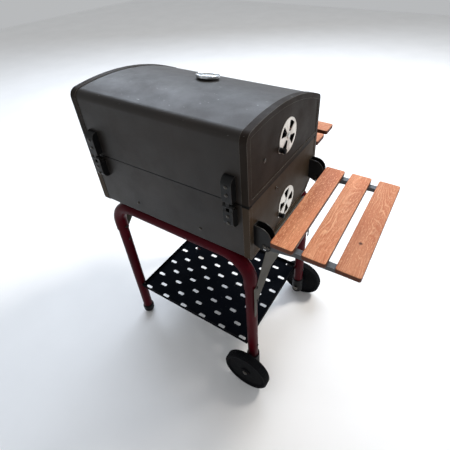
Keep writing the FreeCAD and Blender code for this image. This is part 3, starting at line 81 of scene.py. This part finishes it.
# --------------------------------------------------------------------------------------------
# Material building blocks
# --------------------------------------------------------------------------------------------
class Surface:
    """A material with its nodes, wired step by step."""

    def __init__(self, name, **constants):
        self.material = bpy.data.materials.new(name)
        self.material.use_nodes = True
        self.tree = self.material.node_tree
        self.shader = self.tree.nodes["Principled BSDF"]
        for socket, value in constants.items():
            self.shader.inputs[socket.replace("_", " ")].default_value = value
        self.relief_below = None

    def add(self, kind, **settings):
        made = self.tree.nodes.new(kind)
        for name, value in settings.items():
            setattr(made, name, value)
        return made

    def feed(self, socket, value):
        if isinstance(value, bpy.types.NodeSocket):
            self.tree.links.new(value, socket)
        else:
            socket.default_value = value

    def coordinates(self, scale=(1, 1, 1), offset=(0, 0, 0), turn=(0, 0, 0)):
        place = self.add("ShaderNodeTexCoord").outputs["Object"]
        mapping = self.add("ShaderNodeMapping")
        self.feed(mapping.inputs["Vector"], place)
        mapping.inputs["Scale"].default_value = scale
        mapping.inputs["Location"].default_value = offset
        mapping.inputs["Rotation"].default_value = turn
        return mapping.outputs["Vector"]

    def noise(self, vector, scale, detail=4.0, roughness=0.55, distortion=0.0):
        made = self.add("ShaderNodeTexNoise")
        self.feed(made.inputs["Vector"], vector)
        made.inputs["Scale"].default_value = scale
        made.inputs["Detail"].default_value = detail
        made.inputs["Roughness"].default_value = roughness
        made.inputs["Distortion"].default_value = distortion
        return made.outputs["Fac"]

    def span(self, value, low_in, high_in, low_out, high_out):
        """A value carried from one range to another, and clamped to it."""
        made = self.add("ShaderNodeMapRange")
        self.feed(made.inputs["Value"], value)
        for socket, number in (("From Min", low_in), ("From Max", high_in), ("To Min", low_out),
                               ("To Max", high_out)):
            made.inputs[socket].default_value = number
        return made.outputs["Result"]

    def maths(self, operation, first, second=0.0):
        made = self.add("ShaderNodeMath", operation=operation)
        self.feed(made.inputs[0], first)
        self.feed(made.inputs[1], second)
        return made.outputs[0]

    def ramp(self, value, *stops):
        made = self.add("ShaderNodeValToRGB")
        self.feed(made.inputs["Fac"], value)
        elements = made.color_ramp.elements
        while len(elements) < len(stops):
            elements.new(0.5)
        for element, (place, colour) in zip(elements, stops):
            element.position = place
            element.color = colour
        return made.outputs["Color"]

    def mix(self, factor, first, second):
        """The first colour at a factor of nought, the second at one."""
        made = self.add("ShaderNodeMix", data_type="RGBA")
        self.feed(made.inputs["Factor"], factor)
        colour_a, colour_b, colour_out = 6, 7, 2
        self.feed(made.inputs[colour_a], first)
        self.feed(made.inputs[colour_b], second)
        return made.outputs[colour_out]

    def edge_mask(self, radius):
        """One along outer and inner edges, nought on flat faces."""
        rounded = self.add("ShaderNodeBevel", samples=6)
        rounded.inputs["Radius"].default_value = radius
        true = self.add("ShaderNodeNewGeometry").outputs["Normal"]
        dot = self.add("ShaderNodeVectorMath", operation="DOT_PRODUCT")
        self.feed(dot.inputs[0], rounded.outputs["Normal"])
        self.feed(dot.inputs[1], true)
        return self.span(dot.outputs["Value"], 0.985, 0.86, 0.0, 1.0)

    def upright_faces(self):
        """One on faces that stand upright, nought on level ones."""
        parts = self.add("ShaderNodeSeparateXYZ")
        self.feed(parts.inputs[0], self.add("ShaderNodeTexCoord").outputs["Normal"])
        return self.span(self.maths("ABSOLUTE", parts.outputs["Z"]), 0.25, 0.85, 1.0, 0.0)

    def colour(self, value):
        self.feed(self.shader.inputs["Base Color"], value)

    def roughness(self, value):
        self.feed(self.shader.inputs["Roughness"], value)

    def relief(self, height, strength, distance):
        """Adds one layer of fine relief on top of the ones before."""
        bump = self.add("ShaderNodeBump")
        bump.inputs["Strength"].default_value = strength
        bump.inputs["Distance"].default_value = distance
        self.feed(bump.inputs["Height"], height)
        if self.relief_below:
            self.feed(bump.inputs["Normal"], self.relief_below)
        self.relief_below = bump.outputs["Normal"]
        self.feed(self.shader.inputs["Normal"], self.relief_below)


# --------------------------------------------------------------------------------------------
# Materials
# --------------------------------------------------------------------------------------------
GREY_DUST, DUSTY_FILM = linear(150, 145, 138), linear(120, 116, 110)
# SPLIT_SHADE is painted shade: the near-black band painted along the split between base and lid
SCRATCH, BARE_EDGE_AND_HIGHLIGHT, SPLIT_SHADE = linear(190, 190, 188), linear(168, 162, 152), linear(3, 3, 3)


def sprayed_paint(name, base, light, rough, grain, dust, specular, wear_and_highlight=0.3, gap=2 * MM):
    """Sprayed paint: orange peel, cloudy tone, dust, scratched tops, pale edges (partly wear,
    partly painted highlight) and painted shade along the split.

    gap is how far the painted shade reaches above and below the split between base and lid.
    """
    paint = Surface(name, Specular_IOR_Level=specular)
    place = paint.coordinates()

    cloud = paint.noise(place, scale=5.0, detail=6.0, roughness=0.6)
    tone = paint.mix(paint.span(cloud, 0.3, 0.7, 0.0, 1.0), base, light)
    speck = paint.noise(place, scale=420.0, detail=3.0, roughness=0.7)
    tone = paint.mix(paint.span(speck, 0.62, 0.78, 0.0, dust), tone, GREY_DUST)
    streaks = paint.coordinates(scale=(1, 1, 0.25))
    rub = paint.noise(streaks, scale=26.0, detail=5.0, roughness=0.65, distortion=0.6)
    tone = paint.mix(paint.span(rub, 0.52, 0.8, 0.0, dust * 0.6), tone, DUSTY_FILM)

    slanted = paint.coordinates(scale=(0.5, 1.6, 1.0), turn=(0, 0, 0.6))
    scratch = paint.noise(slanted, scale=190.0, detail=1.0, roughness=0.4)
    scratch = paint.maths("MULTIPLY", paint.span(scratch, 0.77, 0.8, 0.0, 1.0), wear_and_highlight)
    level = paint.maths("SUBTRACT", 1.0, paint.upright_faces())
    tone = paint.mix(paint.maths("MULTIPLY", scratch, level), tone, SCRATCH)

    parts = paint.add("ShaderNodeSeparateXYZ")
    paint.feed(parts.inputs[0], place)
    from_split = paint.maths("ABSOLUTE", paint.maths("SUBTRACT", parts.outputs["Z"], SPLIT.z))
    away = paint.span(from_split, gap + 2 * MM, gap + 6 * MM, 0.0, wear_and_highlight)
    # Pale edges: partly worn paint, partly a painted highlight where the edges would catch the
    # light
    edges = paint.maths("MULTIPLY", paint.edge_mask(1.4 * MM), away)
    tone = paint.mix(edges, tone, BARE_EDGE_AND_HIGHLIGHT)
    # Painted shade: a near-black band along the split, standing in for the shadow under the lid's
    # rim
    split_shade = paint.span(from_split, gap - 0.4 * MM, gap + 1.2 * MM, 0.92, 0.0)
    paint.colour(paint.mix(split_shade, tone, SPLIT_SHADE))

    sheen = paint.noise(place, scale=14.0, detail=5.0, roughness=0.6)
    paint.roughness(paint.span(sheen, 0.3, 0.7, rough - 0.07, rough + 0.09))
    peel = paint.noise(place, scale=1100.0, detail=2.0, roughness=0.5)
    paint.relief(peel, grain, 0.25 * MM)
    dents = paint.noise(place, scale=90.0, detail=3.0, roughness=0.5)
    paint.relief(dents, grain * 0.35, 0.35 * MM)
    return paint.material


# END_GRAIN_AND_SHADE darkens upright faces: end grain on the board ends, painted shade on all other
# upright faces
PORE, KNOT_HEART, END_GRAIN_AND_SHADE = linear(96, 38, 18), linear(74, 38, 20), linear(66, 27, 14)
# DARKER_EDGE is the darker tone laid along the board edges
DARKER_EDGE = linear(108, 50, 28)


def stained_wood(name, seed, along_y, pale, rich, dark, knot=None):
    """A stained, flat-sawn board: arched growth rings, fibres, pores and perhaps one knot."""
    wood = Surface(name, Specular_IOR_Level=0.2)
    turn = (0, 0, math.radians(90)) if along_y else (0, 0, 0)
    own_place = (seed * 0.371, seed * 0.173, seed * 0.097)

    def stretch(along, across, offset=own_place):
        """Coordinates with the board's length along X."""
        scale = (across, along, across) if along_y else (along, across, across)
        return wood.coordinates(scale=scale, offset=offset, turn=turn)

    def figure(along, across, detail, roughness=0.55, offset=own_place):
        """Noise with so many features a metre along and across the board."""
        return wood.noise(stretch(along, across, offset), 1.0, detail, roughness)

    # Growth rings are the contours of a height that rises across the board and sways along it
    rings_a_metre, sway_rings, ripple_rings = 95.0, 40.0, 1.6
    sway = wood.maths("SUBTRACT", figure(2.0, 9.0, 2.0, 0.45), 0.5)
    ripple = wood.maths("SUBTRACT", figure(16.0, 46.0, 2.0, 0.5), 0.5)
    flat = wood.add("ShaderNodeSeparateXYZ")
    wood.feed(flat.inputs[0], stretch(1.0, 1.0, (0, 0, 0)))
    height = wood.maths("ADD", wood.maths("MULTIPLY", sway, sway_rings),
                        wood.maths("MULTIPLY", ripple, ripple_rings))
    height = wood.maths("ADD", height, wood.maths("MULTIPLY", flat.outputs["Y"], rings_a_metre))
    if knot:
        spot = wood.add("ShaderNodeVectorMath", operation="DISTANCE")
        wood.feed(spot.inputs[0], wood.coordinates())
        spot.inputs[1].default_value = knot
        from_knot = spot.outputs["Value"]
        height = wood.maths("ADD", height, wood.span(from_knot, 0.0, 34 * MM, 9.0, 0.0))
    rings = wood.maths("FRACT", height)

    fibre = figure(10.0, 520.0, 5.0, 0.7)
    pore = figure(30.0, 900.0, 2.0, 0.6)
    cloud = figure(5.0, 22.0, 4.0, 0.6)
    fleck = figure(90.0, 260.0, 3.0, 0.6)
    faint = figure(8.0, 18.0, 2.0, offset=(3, 1, 2))
    plain = tuple(0.6 * a + 0.4 * b for a, b in zip(rich, pale))
    tone = wood.ramp(rings, (0.0, plain), (0.45, rich), (0.74, pale), (0.84, plain), (0.95, rich),
                     (1.0, plain))
    tone = wood.mix(wood.span(faint, 0.4, 0.6, 0.7, 0.0), tone, plain)
    tone = wood.mix(wood.span(cloud, 0.36, 0.66, 0.0, 0.75), tone, rich)
    tone = wood.mix(wood.span(sway, 0.02, 0.2, 0.0, 0.55), tone, dark)
    tone = wood.mix(wood.span(fibre, 0.5, 0.72, 0.0, 0.5), tone, dark)
    tone = wood.mix(wood.span(fleck, 0.53, 0.68, 0.0, 0.55), tone, pale)
    tone = wood.mix(wood.span(pore, 0.58, 0.72, 0.0, 0.5), tone, PORE)
    if knot:
        tone = wood.mix(wood.span(from_knot, 2.5 * MM, 6.5 * MM, 0.95, 0.0), tone, KNOT_HEART)
    # Upright faces darker: end grain on the board ends, painted shade on the long sides
    tone = wood.mix(wood.maths("MULTIPLY", wood.upright_faces(), 0.93), tone, END_GRAIN_AND_SHADE)
    # Darker along the edges
    edge_darkening = wood.maths("MULTIPLY", wood.edge_mask(2.5 * MM), 0.35)
    wood.colour(wood.mix(edge_darkening, tone, DARKER_EDGE))
    wood.roughness(wood.span(fibre, 0.3, 0.7, 0.46, 0.66))
    wood.relief(fibre, 0.25, 0.3 * MM)
    wood.relief(pore, 0.3, 0.2 * MM)
    wood.relief(rings, 0.1, 0.2 * MM)
    return wood.material


def brushed_metal(name, base, rough, scratch_scale=(4, 260, 260), strength=0.25):
    """Bare metal with fine scratches, smudges and a little tarnish."""
    metal = Surface(name, Metallic=1.0)
    scratch = metal.noise(metal.coordinates(scale=scratch_scale), scale=3.0, detail=5.0,
                          roughness=0.7)
    smudge = metal.noise(metal.coordinates(), scale=30.0, detail=5.0, roughness=0.6)
    tone = metal.mix(metal.span(smudge, 0.42, 0.75, 0.0, 0.5), base, shaded(base, 0.62))
    metal.colour(metal.mix(metal.span(scratch, 0.55, 0.8, 0.0, 0.25), tone, linear(235, 233, 228)))
    metal.roughness(metal.span(smudge, 0.3, 0.7, rough - 0.08, rough + 0.12))
    metal.relief(scratch, strength, 0.08 * MM)
    return metal.material


def moulded_plastic(name, base, worn, rough):
    """Moulded plastic: spark-eroded grain, scuffs and grey dust in the low spots."""
    plastic = Surface(name, Specular_IOR_Level=0.12)
    place = plastic.coordinates()
    scuff = plastic.noise(place, scale=42.0, detail=6.0, roughness=0.72, distortion=0.5)
    grain = plastic.noise(place, scale=700.0, detail=2.0, roughness=0.6)
    tone = plastic.mix(plastic.span(scuff, 0.5, 0.78, 0.0, 0.7), base, worn)
    low_spots = plastic.span(grain, 0.62, 0.8, 0.0, 0.3)
    plastic.colour(plastic.mix(low_spots, tone, linear(120, 118, 114)))
    plastic.roughness(plastic.span(scuff, 0.3, 0.7, rough, rough + 0.2))
    plastic.relief(grain, 0.4, 0.2 * MM)
    return plastic.material


def cast_iron(name):
    """Seasoned cast iron: stained, coarse, with specks of rust."""
    iron = Surface(name, Metallic=0.35, Specular_IOR_Level=0.4)
    place = iron.coordinates()
    grain = iron.noise(place, scale=380.0, detail=5.0, roughness=0.7)
    stain = iron.noise(place, scale=18.0, detail=6.0, roughness=0.65)
    tone = iron.mix(iron.span(stain, 0.4, 0.7, 0.0, 1.0), linear(38, 36, 35), linear(62, 54, 49))
    iron.colour(iron.mix(iron.span(grain, 0.66, 0.8, 0.0, 0.35), tone, linear(112, 74, 52)))
    iron.roughness(iron.span(stain, 0.3, 0.7, 0.5, 0.75))
    iron.relief(grain, 0.55, 0.4 * MM)
    return iron.material


def clear_glass(name):
    """Glass with a slight haze."""
    glass = Surface(name, Transmission_Weight=1.0, IOR=1.45, Roughness=0.04)
    haze = glass.noise(glass.coordinates(), scale=60.0, detail=5.0, roughness=0.65)
    clean, hazy = (0.93, 0.96, 0.97, 1), (0.72, 0.76, 0.78, 1)
    glass.colour(glass.mix(glass.span(haze, 0.45, 0.8, 0.0, 0.4), clean, hazy))
    glass.relief(haze, 0.05, 0.1 * MM)
    return glass.material


def printed_enamel(name, base, spotted, rough=0.45):
    """Printed or stoved enamel, a little spotted with age."""
    enamel = Surface(name)
    place = enamel.coordinates()
    age = enamel.noise(place, scale=70.0, detail=5.0, roughness=0.6)
    enamel.colour(enamel.mix(enamel.span(age, 0.45, 0.75, 0.0, 0.5), base, spotted))
    enamel.roughness(enamel.span(age, 0.3, 0.7, rough - 0.1, rough + 0.1))
    enamel.relief(enamel.noise(place, scale=900.0, detail=2.0), 0.1, 0.1 * MM)
    return enamel.material


BODY = sprayed_paint("body_paint", linear(25, 22, 19), linear(36, 29, 24), rough=0.43,
                     grain=0.3, dust=0.04, specular=0.29, wear_and_highlight=0.35)
# The ends have the body's paint: their brown tint is a painted reflection of warm surroundings, and
# the base end is painted lighter as painted light
LID_END = sprayed_paint("lid_end_paint_and_painted_reflection", linear(24, 18, 13), linear(34, 25, 18), rough=0.6,
                        grain=0.3, dust=0.04, specular=0.12, wear_and_highlight=0.35, gap=4.2 * MM)
BASE_END = sprayed_paint("base_end_paint_and_painted_light", linear(48, 38, 27), linear(62, 49, 36), rough=0.6,
                         grain=0.3, dust=0.04, specular=0.12, wear_and_highlight=0.3, gap=4.2 * MM)
BRACE = sprayed_paint("brace_paint", linear(56, 53, 46), linear(66, 62, 53), rough=0.5,
                      grain=0.3, dust=0.08, specular=0.1)
BLACK = sprayed_paint("black_paint", linear(9, 9, 10), linear(15, 15, 16), rough=0.4,
                      grain=0.25, dust=0.03, specular=0.22, wear_and_highlight=0.2)
# The arms are black paint; their grey-blue tone is a painted sky reflection
ARM = sprayed_paint("arm_paint_and_painted_sky_reflection", linear(46, 48, 52), linear(62, 64, 68), rough=0.36,
                    grain=0.25, dust=0.12, specular=0.4)
# Black paint made darker and bluer than black_paint: painted shade under the barrel
SHELF = sprayed_paint("shelf_paint_and_painted_shade", linear(2, 4, 9), linear(5, 8, 15), rough=0.75,
                      grain=0.25, dust=0.01, specular=0.03, wear_and_highlight=0.06)
MAROON = sprayed_paint("maroon_paint", linear(54, 0, 9), linear(72, 2, 16), rough=0.38,
                       grain=0.2, dust=0.01, specular=0.06, wear_and_highlight=0.06)
BLUED = brushed_metal("blued_steel", linear(74, 71, 67), 0.22, (60, 60, 60), 0.15)
STEEL = brushed_metal("stainless_steel", linear(196, 196, 192), 0.34)
DISC = brushed_metal("vent_steel", linear(202, 196, 188), 0.42, (200, 5, 200))
CHROME = brushed_metal("polished_chrome", linear(226, 230, 234), 0.14, (40, 40, 300), 0.08)
RACK = brushed_metal("rack_chrome", linear(150, 152, 155), 0.3, (40, 40, 300), 0.02)
ZINC = brushed_metal("dull_zinc", linear(150, 152, 154), 0.5, (60, 60, 60))
PLASTIC = moulded_plastic("black_plastic", linear(9, 9, 11), linear(24, 24, 26), 0.4)
TYRE = moulded_plastic("wheel_plastic", linear(3, 4, 8), linear(16, 17, 20), 0.68)
IRON = cast_iron("seasoned_iron")
GLASS = clear_glass("gauge_glass")
DIAL = printed_enamel("dial_enamel", linear(232, 230, 222), linear(206, 200, 186))
INK = printed_enamel("dial_ink", linear(24, 24, 26), linear(40, 38, 36))
RED = printed_enamel("red_enamel", linear(190, 26, 20), linear(150, 22, 18), 0.35)
GREEN = printed_enamel("green_enamel", linear(60, 128, 62), linear(50, 104, 52), 0.4)
PALE, RICH, DARK = linear(240, 182, 140), linear(194, 116, 78), linear(140, 72, 44)
GRIP = stained_wood("grip_wood", 7, False, PALE, RICH, DARK)

CLOTHES = {
    BODY: ("base_wrap", "lid_wrap"),
    LID_END: ("lid_cap_vent_end", "lid_cap_plain_end"),
    BASE_END: ("base_cap_vent_end", "base_cap_plain_end"),
    BRACE: ("end_brace_vent_end", "end_brace_plain_end"),
    BLACK: ("lid_hinge_leaf_left", "lid_hinge_leaf_right", "base_hinge_leaf_left",
            "base_hinge_leaf_right", "side_shelf_brackets", "front_shelf_brackets",
            "frame_bolts"),
    ARM: ("side_shelf_arm_rear", "side_shelf_arm_front"),
    SHELF: ("bottom_shelf",),
    MAROON: ("frame_tube_rear", "frame_tube_front", "plain_end_legs", "wheel_end_legs"),
    BLUED: ("lid_hinge_bolts", "base_wall_bolts", "hinge_pins", "warming_rack_bolts",
            "side_shelf_pivot_bolts", "side_shelf_fasteners", "front_shelf_screws",
            "axle_bolts"),
    STEEL: ("lid_vent_rivet", "base_vent_rivet", "lid_handle_posts", "thermometer_stem"),
    DISC: ("lid_vent_disc", "base_vent_disc"),
    CHROME: ("thermometer_bezel",),
    RACK: ("warming_rack",),
    GLASS: ("thermometer_glass",),
    DIAL: ("thermometer_dial",),
    RED: ("thermometer_needle",),
    PLASTIC: ("lid_vent_knob", "base_vent_knob", "foot_caps", "leg_boots"),
    TYRE: ("wheel_rear", "wheel_front"),
    IRON: ("cooking_grate_left", "cooking_grate_right", "charcoal_grate"),
    ZINC: ("ash_pan", "grate_ledges", "charcoal_grate_rests"),
    GRIP: ("lid_handle_grip",),
}
for material, nodes in CLOTHES.items():
    for node in nodes:
        frame["nodes"][node].data.materials.clear()
        frame["nodes"][node].data.materials.append(material)


# --------------------------------------------------------------------------------------------
# Pieces made in mesh code
# --------------------------------------------------------------------------------------------
SMOOTH_UP_TO = math.radians(38)


def piece(name, mesh_maker, material, body, smooth=True, replaces=()):
    """A new object on a body, its mesh made by mesh_maker, perhaps in place of CAD nodes."""
    mesh = bpy.data.meshes.new(name)
    shape = bmesh.new()
    mesh_maker(shape)
    bmesh.ops.recalc_face_normals(shape, faces=shape.faces)
    shape.to_mesh(mesh)
    shape.free()
    made = bpy.data.objects.new(name, mesh)
    bpy.context.scene.collection.objects.link(made)
    mesh.materials.append(material)
    for polygon in mesh.polygons:
        polygon.use_smooth = smooth
    if smooth:
        mesh.set_sharp_from_angle(angle=SMOOTH_UP_TO)
    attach(made, body)
    if replaces:
        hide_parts(*replaces)


# Shelf boards, in place of the plain slats
CORNER_ROUND, EDGE_ROUND, TOP_BAND = 6 * MM, 2.2 * MM, 3 * MM
CUTS_ALONG, CUTS_ACROSS = 72, 14
TOP_WAVE, TOP_DIP = 0.22 * MM, 0.075 * MM
WAVES_ALONG, WAVES_ACROSS = 3, 60
LEVEL_WITHIN = 1e-6


def board_maker(low, high, along_y, seed):
    """A planed board: rounded corners, softened edges, and a top with a faint wave and dip."""
    size = high - low
    length_axis, width_axis = (1, 0) if along_y else (0, 1)

    def rise(side):
        return abs(side.verts[0].co.z - side.verts[1].co.z)

    def make(shape):
        bmesh.ops.create_cube(shape, size=1.0)
        for vert in shape.verts:
            vert.co = Vector(low[axis] + (vert.co[axis] + 0.5) * size[axis] for axis in range(3))
        corners = [side for side in shape.edges if rise(side) > size.z / 2]
        bmesh.ops.bevel(shape, geom=corners, offset=CORNER_ROUND, segments=6, profile=0.5,
                        affect="EDGES")
        rims = [side for side in shape.edges if rise(side) < LEVEL_WITHIN]
        bmesh.ops.bevel(shape, geom=rims, offset=EDGE_ROUND, segments=3, profile=0.6,
                        affect="EDGES")
        for axis, count in ((length_axis, CUTS_ALONG), (width_axis, CUTS_ACROSS)):
            normal = Vector((0, 0, 0))
            normal[axis] = 1
            for step in range(1, count):
                cut = low.copy()
                cut[axis] = low[axis] + step / count * size[axis]
                bmesh.ops.bisect_plane(shape, geom=shape.verts[:] + shape.edges[:] + shape.faces[:],
                                       plane_co=cut, plane_no=normal)
        for vert in shape.verts:
            if vert.co.z < high.z - TOP_BAND:
                continue
            across = (vert.co[width_axis] - low[width_axis]) / size[width_axis]
            place = Vector((vert.co[length_axis] * WAVES_ALONG,
                            vert.co[width_axis] * WAVES_ACROSS, seed))
            wave = field.noise(place) * 0.5 + 0.5
            vert.co.z -= TOP_WAVE * wave + TOP_DIP * math.sin(math.pi * across)

    return make


# Slat, its body, whether it lies along Y, and how much its stain is lightened or darkened as
# painted light and shade
BOARDS = (
    ("side_shelf_slat_inner", "side_shelf", True, 1.12),
    ("side_shelf_slat_middle", "side_shelf", True, 0.98),
    ("side_shelf_slat_outer", "side_shelf", True, 0.82),
    ("front_shelf_slat_inner", "frame_and_base", False, 0.92),
    ("front_shelf_slat_outer", "frame_and_base", False, 0.8))
KNOTTED = "side_shelf_slat_outer"
knotted_low, knotted_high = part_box(KNOTTED)
KNOT = (knotted_low.x * 0.45 + knotted_high.x * 0.55, knotted_low.y * 0.27 + knotted_high.y * 0.73,
        knotted_high.z)
for seed, (node, body, along_y, painted_light_share) in enumerate(BOARDS, start=1):
    low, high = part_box(node)
    # Painted light and shade: each board's stain is made lighter or darker for the light it gets
    shades = [shaded(shade, painted_light_share) for shade in (PALE, RICH, DARK)]
    wood = stained_wood(f"slat_wood_{seed}", seed, along_y, *shades,
                        knot=KNOT if node == KNOTTED else None)
    piece(f"{node}_board", board_maker(low, high, along_y, seed), wood, body,
          replaces=(node,))


# Thermometer face: ticks, the line round them and two coloured zones, on the tilted dial
gauge = JOINTS["pointer_turn"]
GAUGE_PLACE = facing(Vector(gauge["pos_m"]), Vector(gauge["axis"]).normalized())
DIAL_TOP = 3.65 * MM
COLD, SWEEP = 135.0, 270.0
TICK_STEPS, LONG_EVERY = 27, 3
TICK_OUTER, LONG_INNER, SHORT_INNER = 26.5 * MM, 21.5 * MM, 24.0 * MM
LONG_HALF_WIDTH, SHORT_HALF_WIDTH = 1.1, 0.5
TICK_THICK, PRINT_THICK = 0.12 * MM, 0.1 * MM
LINE_INNER, LINE_OUTER, LINE_FACETS = 26.9 * MM, 27.5 * MM, 72
ZONE_INNER, ZONE_OUTER, ZONE_FACETS = 17.5 * MM, 20 * MM, 24
ZONES = (("warm", 0.32, 0.62, GREEN), ("hot", 0.64, 0.98, RED))


def arc_plate(shape, inner, outer, start, end, height, facets):
    """A thin plate on the dial, in degrees anticlockwise from the rear."""
    section = ((inner, DIAL_TOP), (inner, DIAL_TOP + height), (outer, DIAL_TOP + height),
               (outer, DIAL_TOP))
    rings = []
    for step in range(facets + 1):
        angle = math.radians(start + (end - start) * step / facets)
        out = Vector((-math.sin(angle), math.cos(angle), 0))
        rings.append([shape.verts.new(GAUGE_PLACE @ (out * radius + UP * level))
                      for radius, level in section])
    for first, second in zip(rings, rings[1:]):
        for side in range(4):
            following = (side + 1) % 4
            shape.faces.new((first[side], first[following], second[following], second[side]))
    for ring in (rings[0], rings[-1]):
        shape.faces.new(ring)


def ticks(shape):
    """All ticks, and the line that joins their outer ends."""
    for number in range(TICK_STEPS + 1):
        angle = COLD - SWEEP * number / TICK_STEPS
        long = number % LONG_EVERY == 0
        half_width = LONG_HALF_WIDTH if long else SHORT_HALF_WIDTH
        arc_plate(shape, LONG_INNER if long else SHORT_INNER, TICK_OUTER, angle - half_width,
                  angle + half_width, TICK_THICK, 1)
    arc_plate(shape, LINE_INNER, LINE_OUTER, COLD, COLD - SWEEP, PRINT_THICK, LINE_FACETS)


def zone_maker(start, end):
    """A coloured band between two shares of the sweep."""
    def make(shape):
        arc_plate(shape, ZONE_INNER, ZONE_OUTER, COLD - SWEEP * start, COLD - SWEEP * end,
                  PRINT_THICK, ZONE_FACETS)
    return make


piece("thermometer_ticks", ticks, INK, "lid", smooth=False)
for name, start, end, material in ZONES:
    piece(f"thermometer_{name}_zone", zone_maker(start, end), material, "lid",
          smooth=False)


# Socket screw on the vent end
SOCKET_FACETS = 36
# Share of the radius, share of the height, and whether the ring is six-sided
SOCKET_RINGS = ((1.0, 0.0, False), (1.0, 0.35, False), (0.9, 0.68, False), (0.72, 0.9, False),
                (0.52, 1.0, True), (0.5, 0.96, True), (0.48, 0.3, True))


def socket_screw(centre, axis, radius, height):
    """A dome head with a six-sided socket, seen along an axis."""
    place = facing(centre, axis)

    def make(shape):
        rows = []
        for share, level, six_sided in SOCKET_RINGS:
            row = []
            for step in range(SOCKET_FACETS):
                angle = 2 * math.pi * step / SOCKET_FACETS
                reach = share * radius
                if six_sided:
                    within = (angle + math.pi / 6) % (math.pi / 3) - math.pi / 6
                    reach *= math.cos(math.pi / 6) / math.cos(within)
                row.append(shape.verts.new(place @ Vector((
                    reach * math.cos(angle), reach * math.sin(angle), level * height))))
            rows.append(row)
        for low, high in zip(rows, rows[1:]):
            for step in range(SOCKET_FACETS):
                following = (step + 1) % SOCKET_FACETS
                shape.faces.new((low[step], low[following], high[following], high[step]))
        shape.faces.new(rows[-1])
        shape.faces.new(rows[0])

    return make


END_PANEL_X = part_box("base_cap_vent_end")[0].x + 1.5 * MM
SCREW_PLACE = Vector((END_PANEL_X, SPLIT.y + 68 * MM, SPLIT.z - 33 * MM))
piece("base_end_screw", socket_screw(SCREW_PLACE, Vector((-1, 0, 0)), 4.5 * MM, 3.2 * MM),
      BLUED, "frame_and_base")

# --------------------------------------------------------------------------------------------
# Floor, light, camera
# --------------------------------------------------------------------------------------------
FLOOR_SIZE = 14
bpy.ops.mesh.primitive_plane_add(size=FLOOR_SIZE, location=(0, 0, 0))
floor = bpy.context.object
floor.name = "floor"
ground = Surface("floor_paper", Specular_IOR_Level=0.2)
mottle = ground.noise(ground.coordinates(), scale=3.0)
ground.colour(ground.mix(ground.span(mottle, 0.3, 0.7, 0, 1), (0.86, 0.86, 0.86, 1),
                         (0.9, 0.9, 0.9, 1)))
ground.roughness(0.9)
floor.data.materials.append(ground.material)

world = bpy.data.worlds.new("studio")
bpy.context.scene.world = world
world.use_nodes = True
backdrop = world.node_tree.nodes["Background"]
backdrop.inputs["Color"].default_value = (0.96, 0.98, 1.0, 1)
backdrop.inputs["Strength"].default_value = 0.5
bpy.context.scene.view_settings.view_transform = "Standard"


def soft_light(name, place, aim, size, watts, colour):
    """A rectangular lamp at a place, pointed at another."""
    lamp = bpy.data.lights.new(name, "AREA")
    lamp.shape = "RECTANGLE"
    lamp.size, lamp.size_y = size
    lamp.energy = watts
    lamp.color = colour
    made = bpy.data.objects.new(name, lamp)
    bpy.context.scene.collection.objects.link(made)
    made.location = place
    made.rotation_euler = (Vector(aim) - Vector(place)).to_track_quat("-Z", "Y").to_euler()


WARM_SUN, BLUE_SKY, SOFT_WHITE = (1.0, 0.95, 0.88), (0.78, 0.87, 1.0), (1.0, 0.98, 0.95)
soft_light("key", (-1.5, -2.0, 3.9), (-0.2, 0, 0.6), (0.8, 0.8), 115, WARM_SUN)
soft_light("sky", (1.7, -2.4, 3.2), (0, 0, 0.9), (4.6, 2.4), 165, BLUE_SKY)
soft_light("rear_fill", (1.6, 2.6, 1.6), (0, 0, 0.6), (1.6, 1.2), 2, SOFT_WHITE)

AZIMUTH, ELEVATION, ROLL = math.radians(31.95), math.radians(36.79), math.radians(-1.92)
DISTANCE = 2.146 * BARREL_LENGTH
AIM = SPLIT + Vector((-0.187, -0.138, -0.347)) * BARREL_LENGTH
SENSOR, FOCAL_SHARE = 36.0, 0.7784
back = Vector((-math.sin(AZIMUTH) * math.cos(ELEVATION), math.cos(AZIMUTH) * math.cos(ELEVATION),
               math.sin(ELEVATION)))
right = (-back).cross(UP).normalized()
up = right.cross(-back)
rolled_right = right * math.cos(ROLL) + up * math.sin(ROLL)
rolled_up = up * math.cos(ROLL) - right * math.sin(ROLL)
lens = bpy.data.cameras.new("camera")
lens.sensor_width = SENSOR
lens.lens = SENSOR * FOCAL_SHARE
lens.shift_x, lens.shift_y = -0.0542, -0.0791
camera = bpy.data.objects.new("camera", lens)
bpy.context.scene.collection.objects.link(camera)
turn = Matrix((rolled_right, rolled_up, back)).transposed().to_4x4()
camera.matrix_world = Matrix.Translation(AIM + back * DISTANCE) @ turn
bpy.context.scene.camera = camera
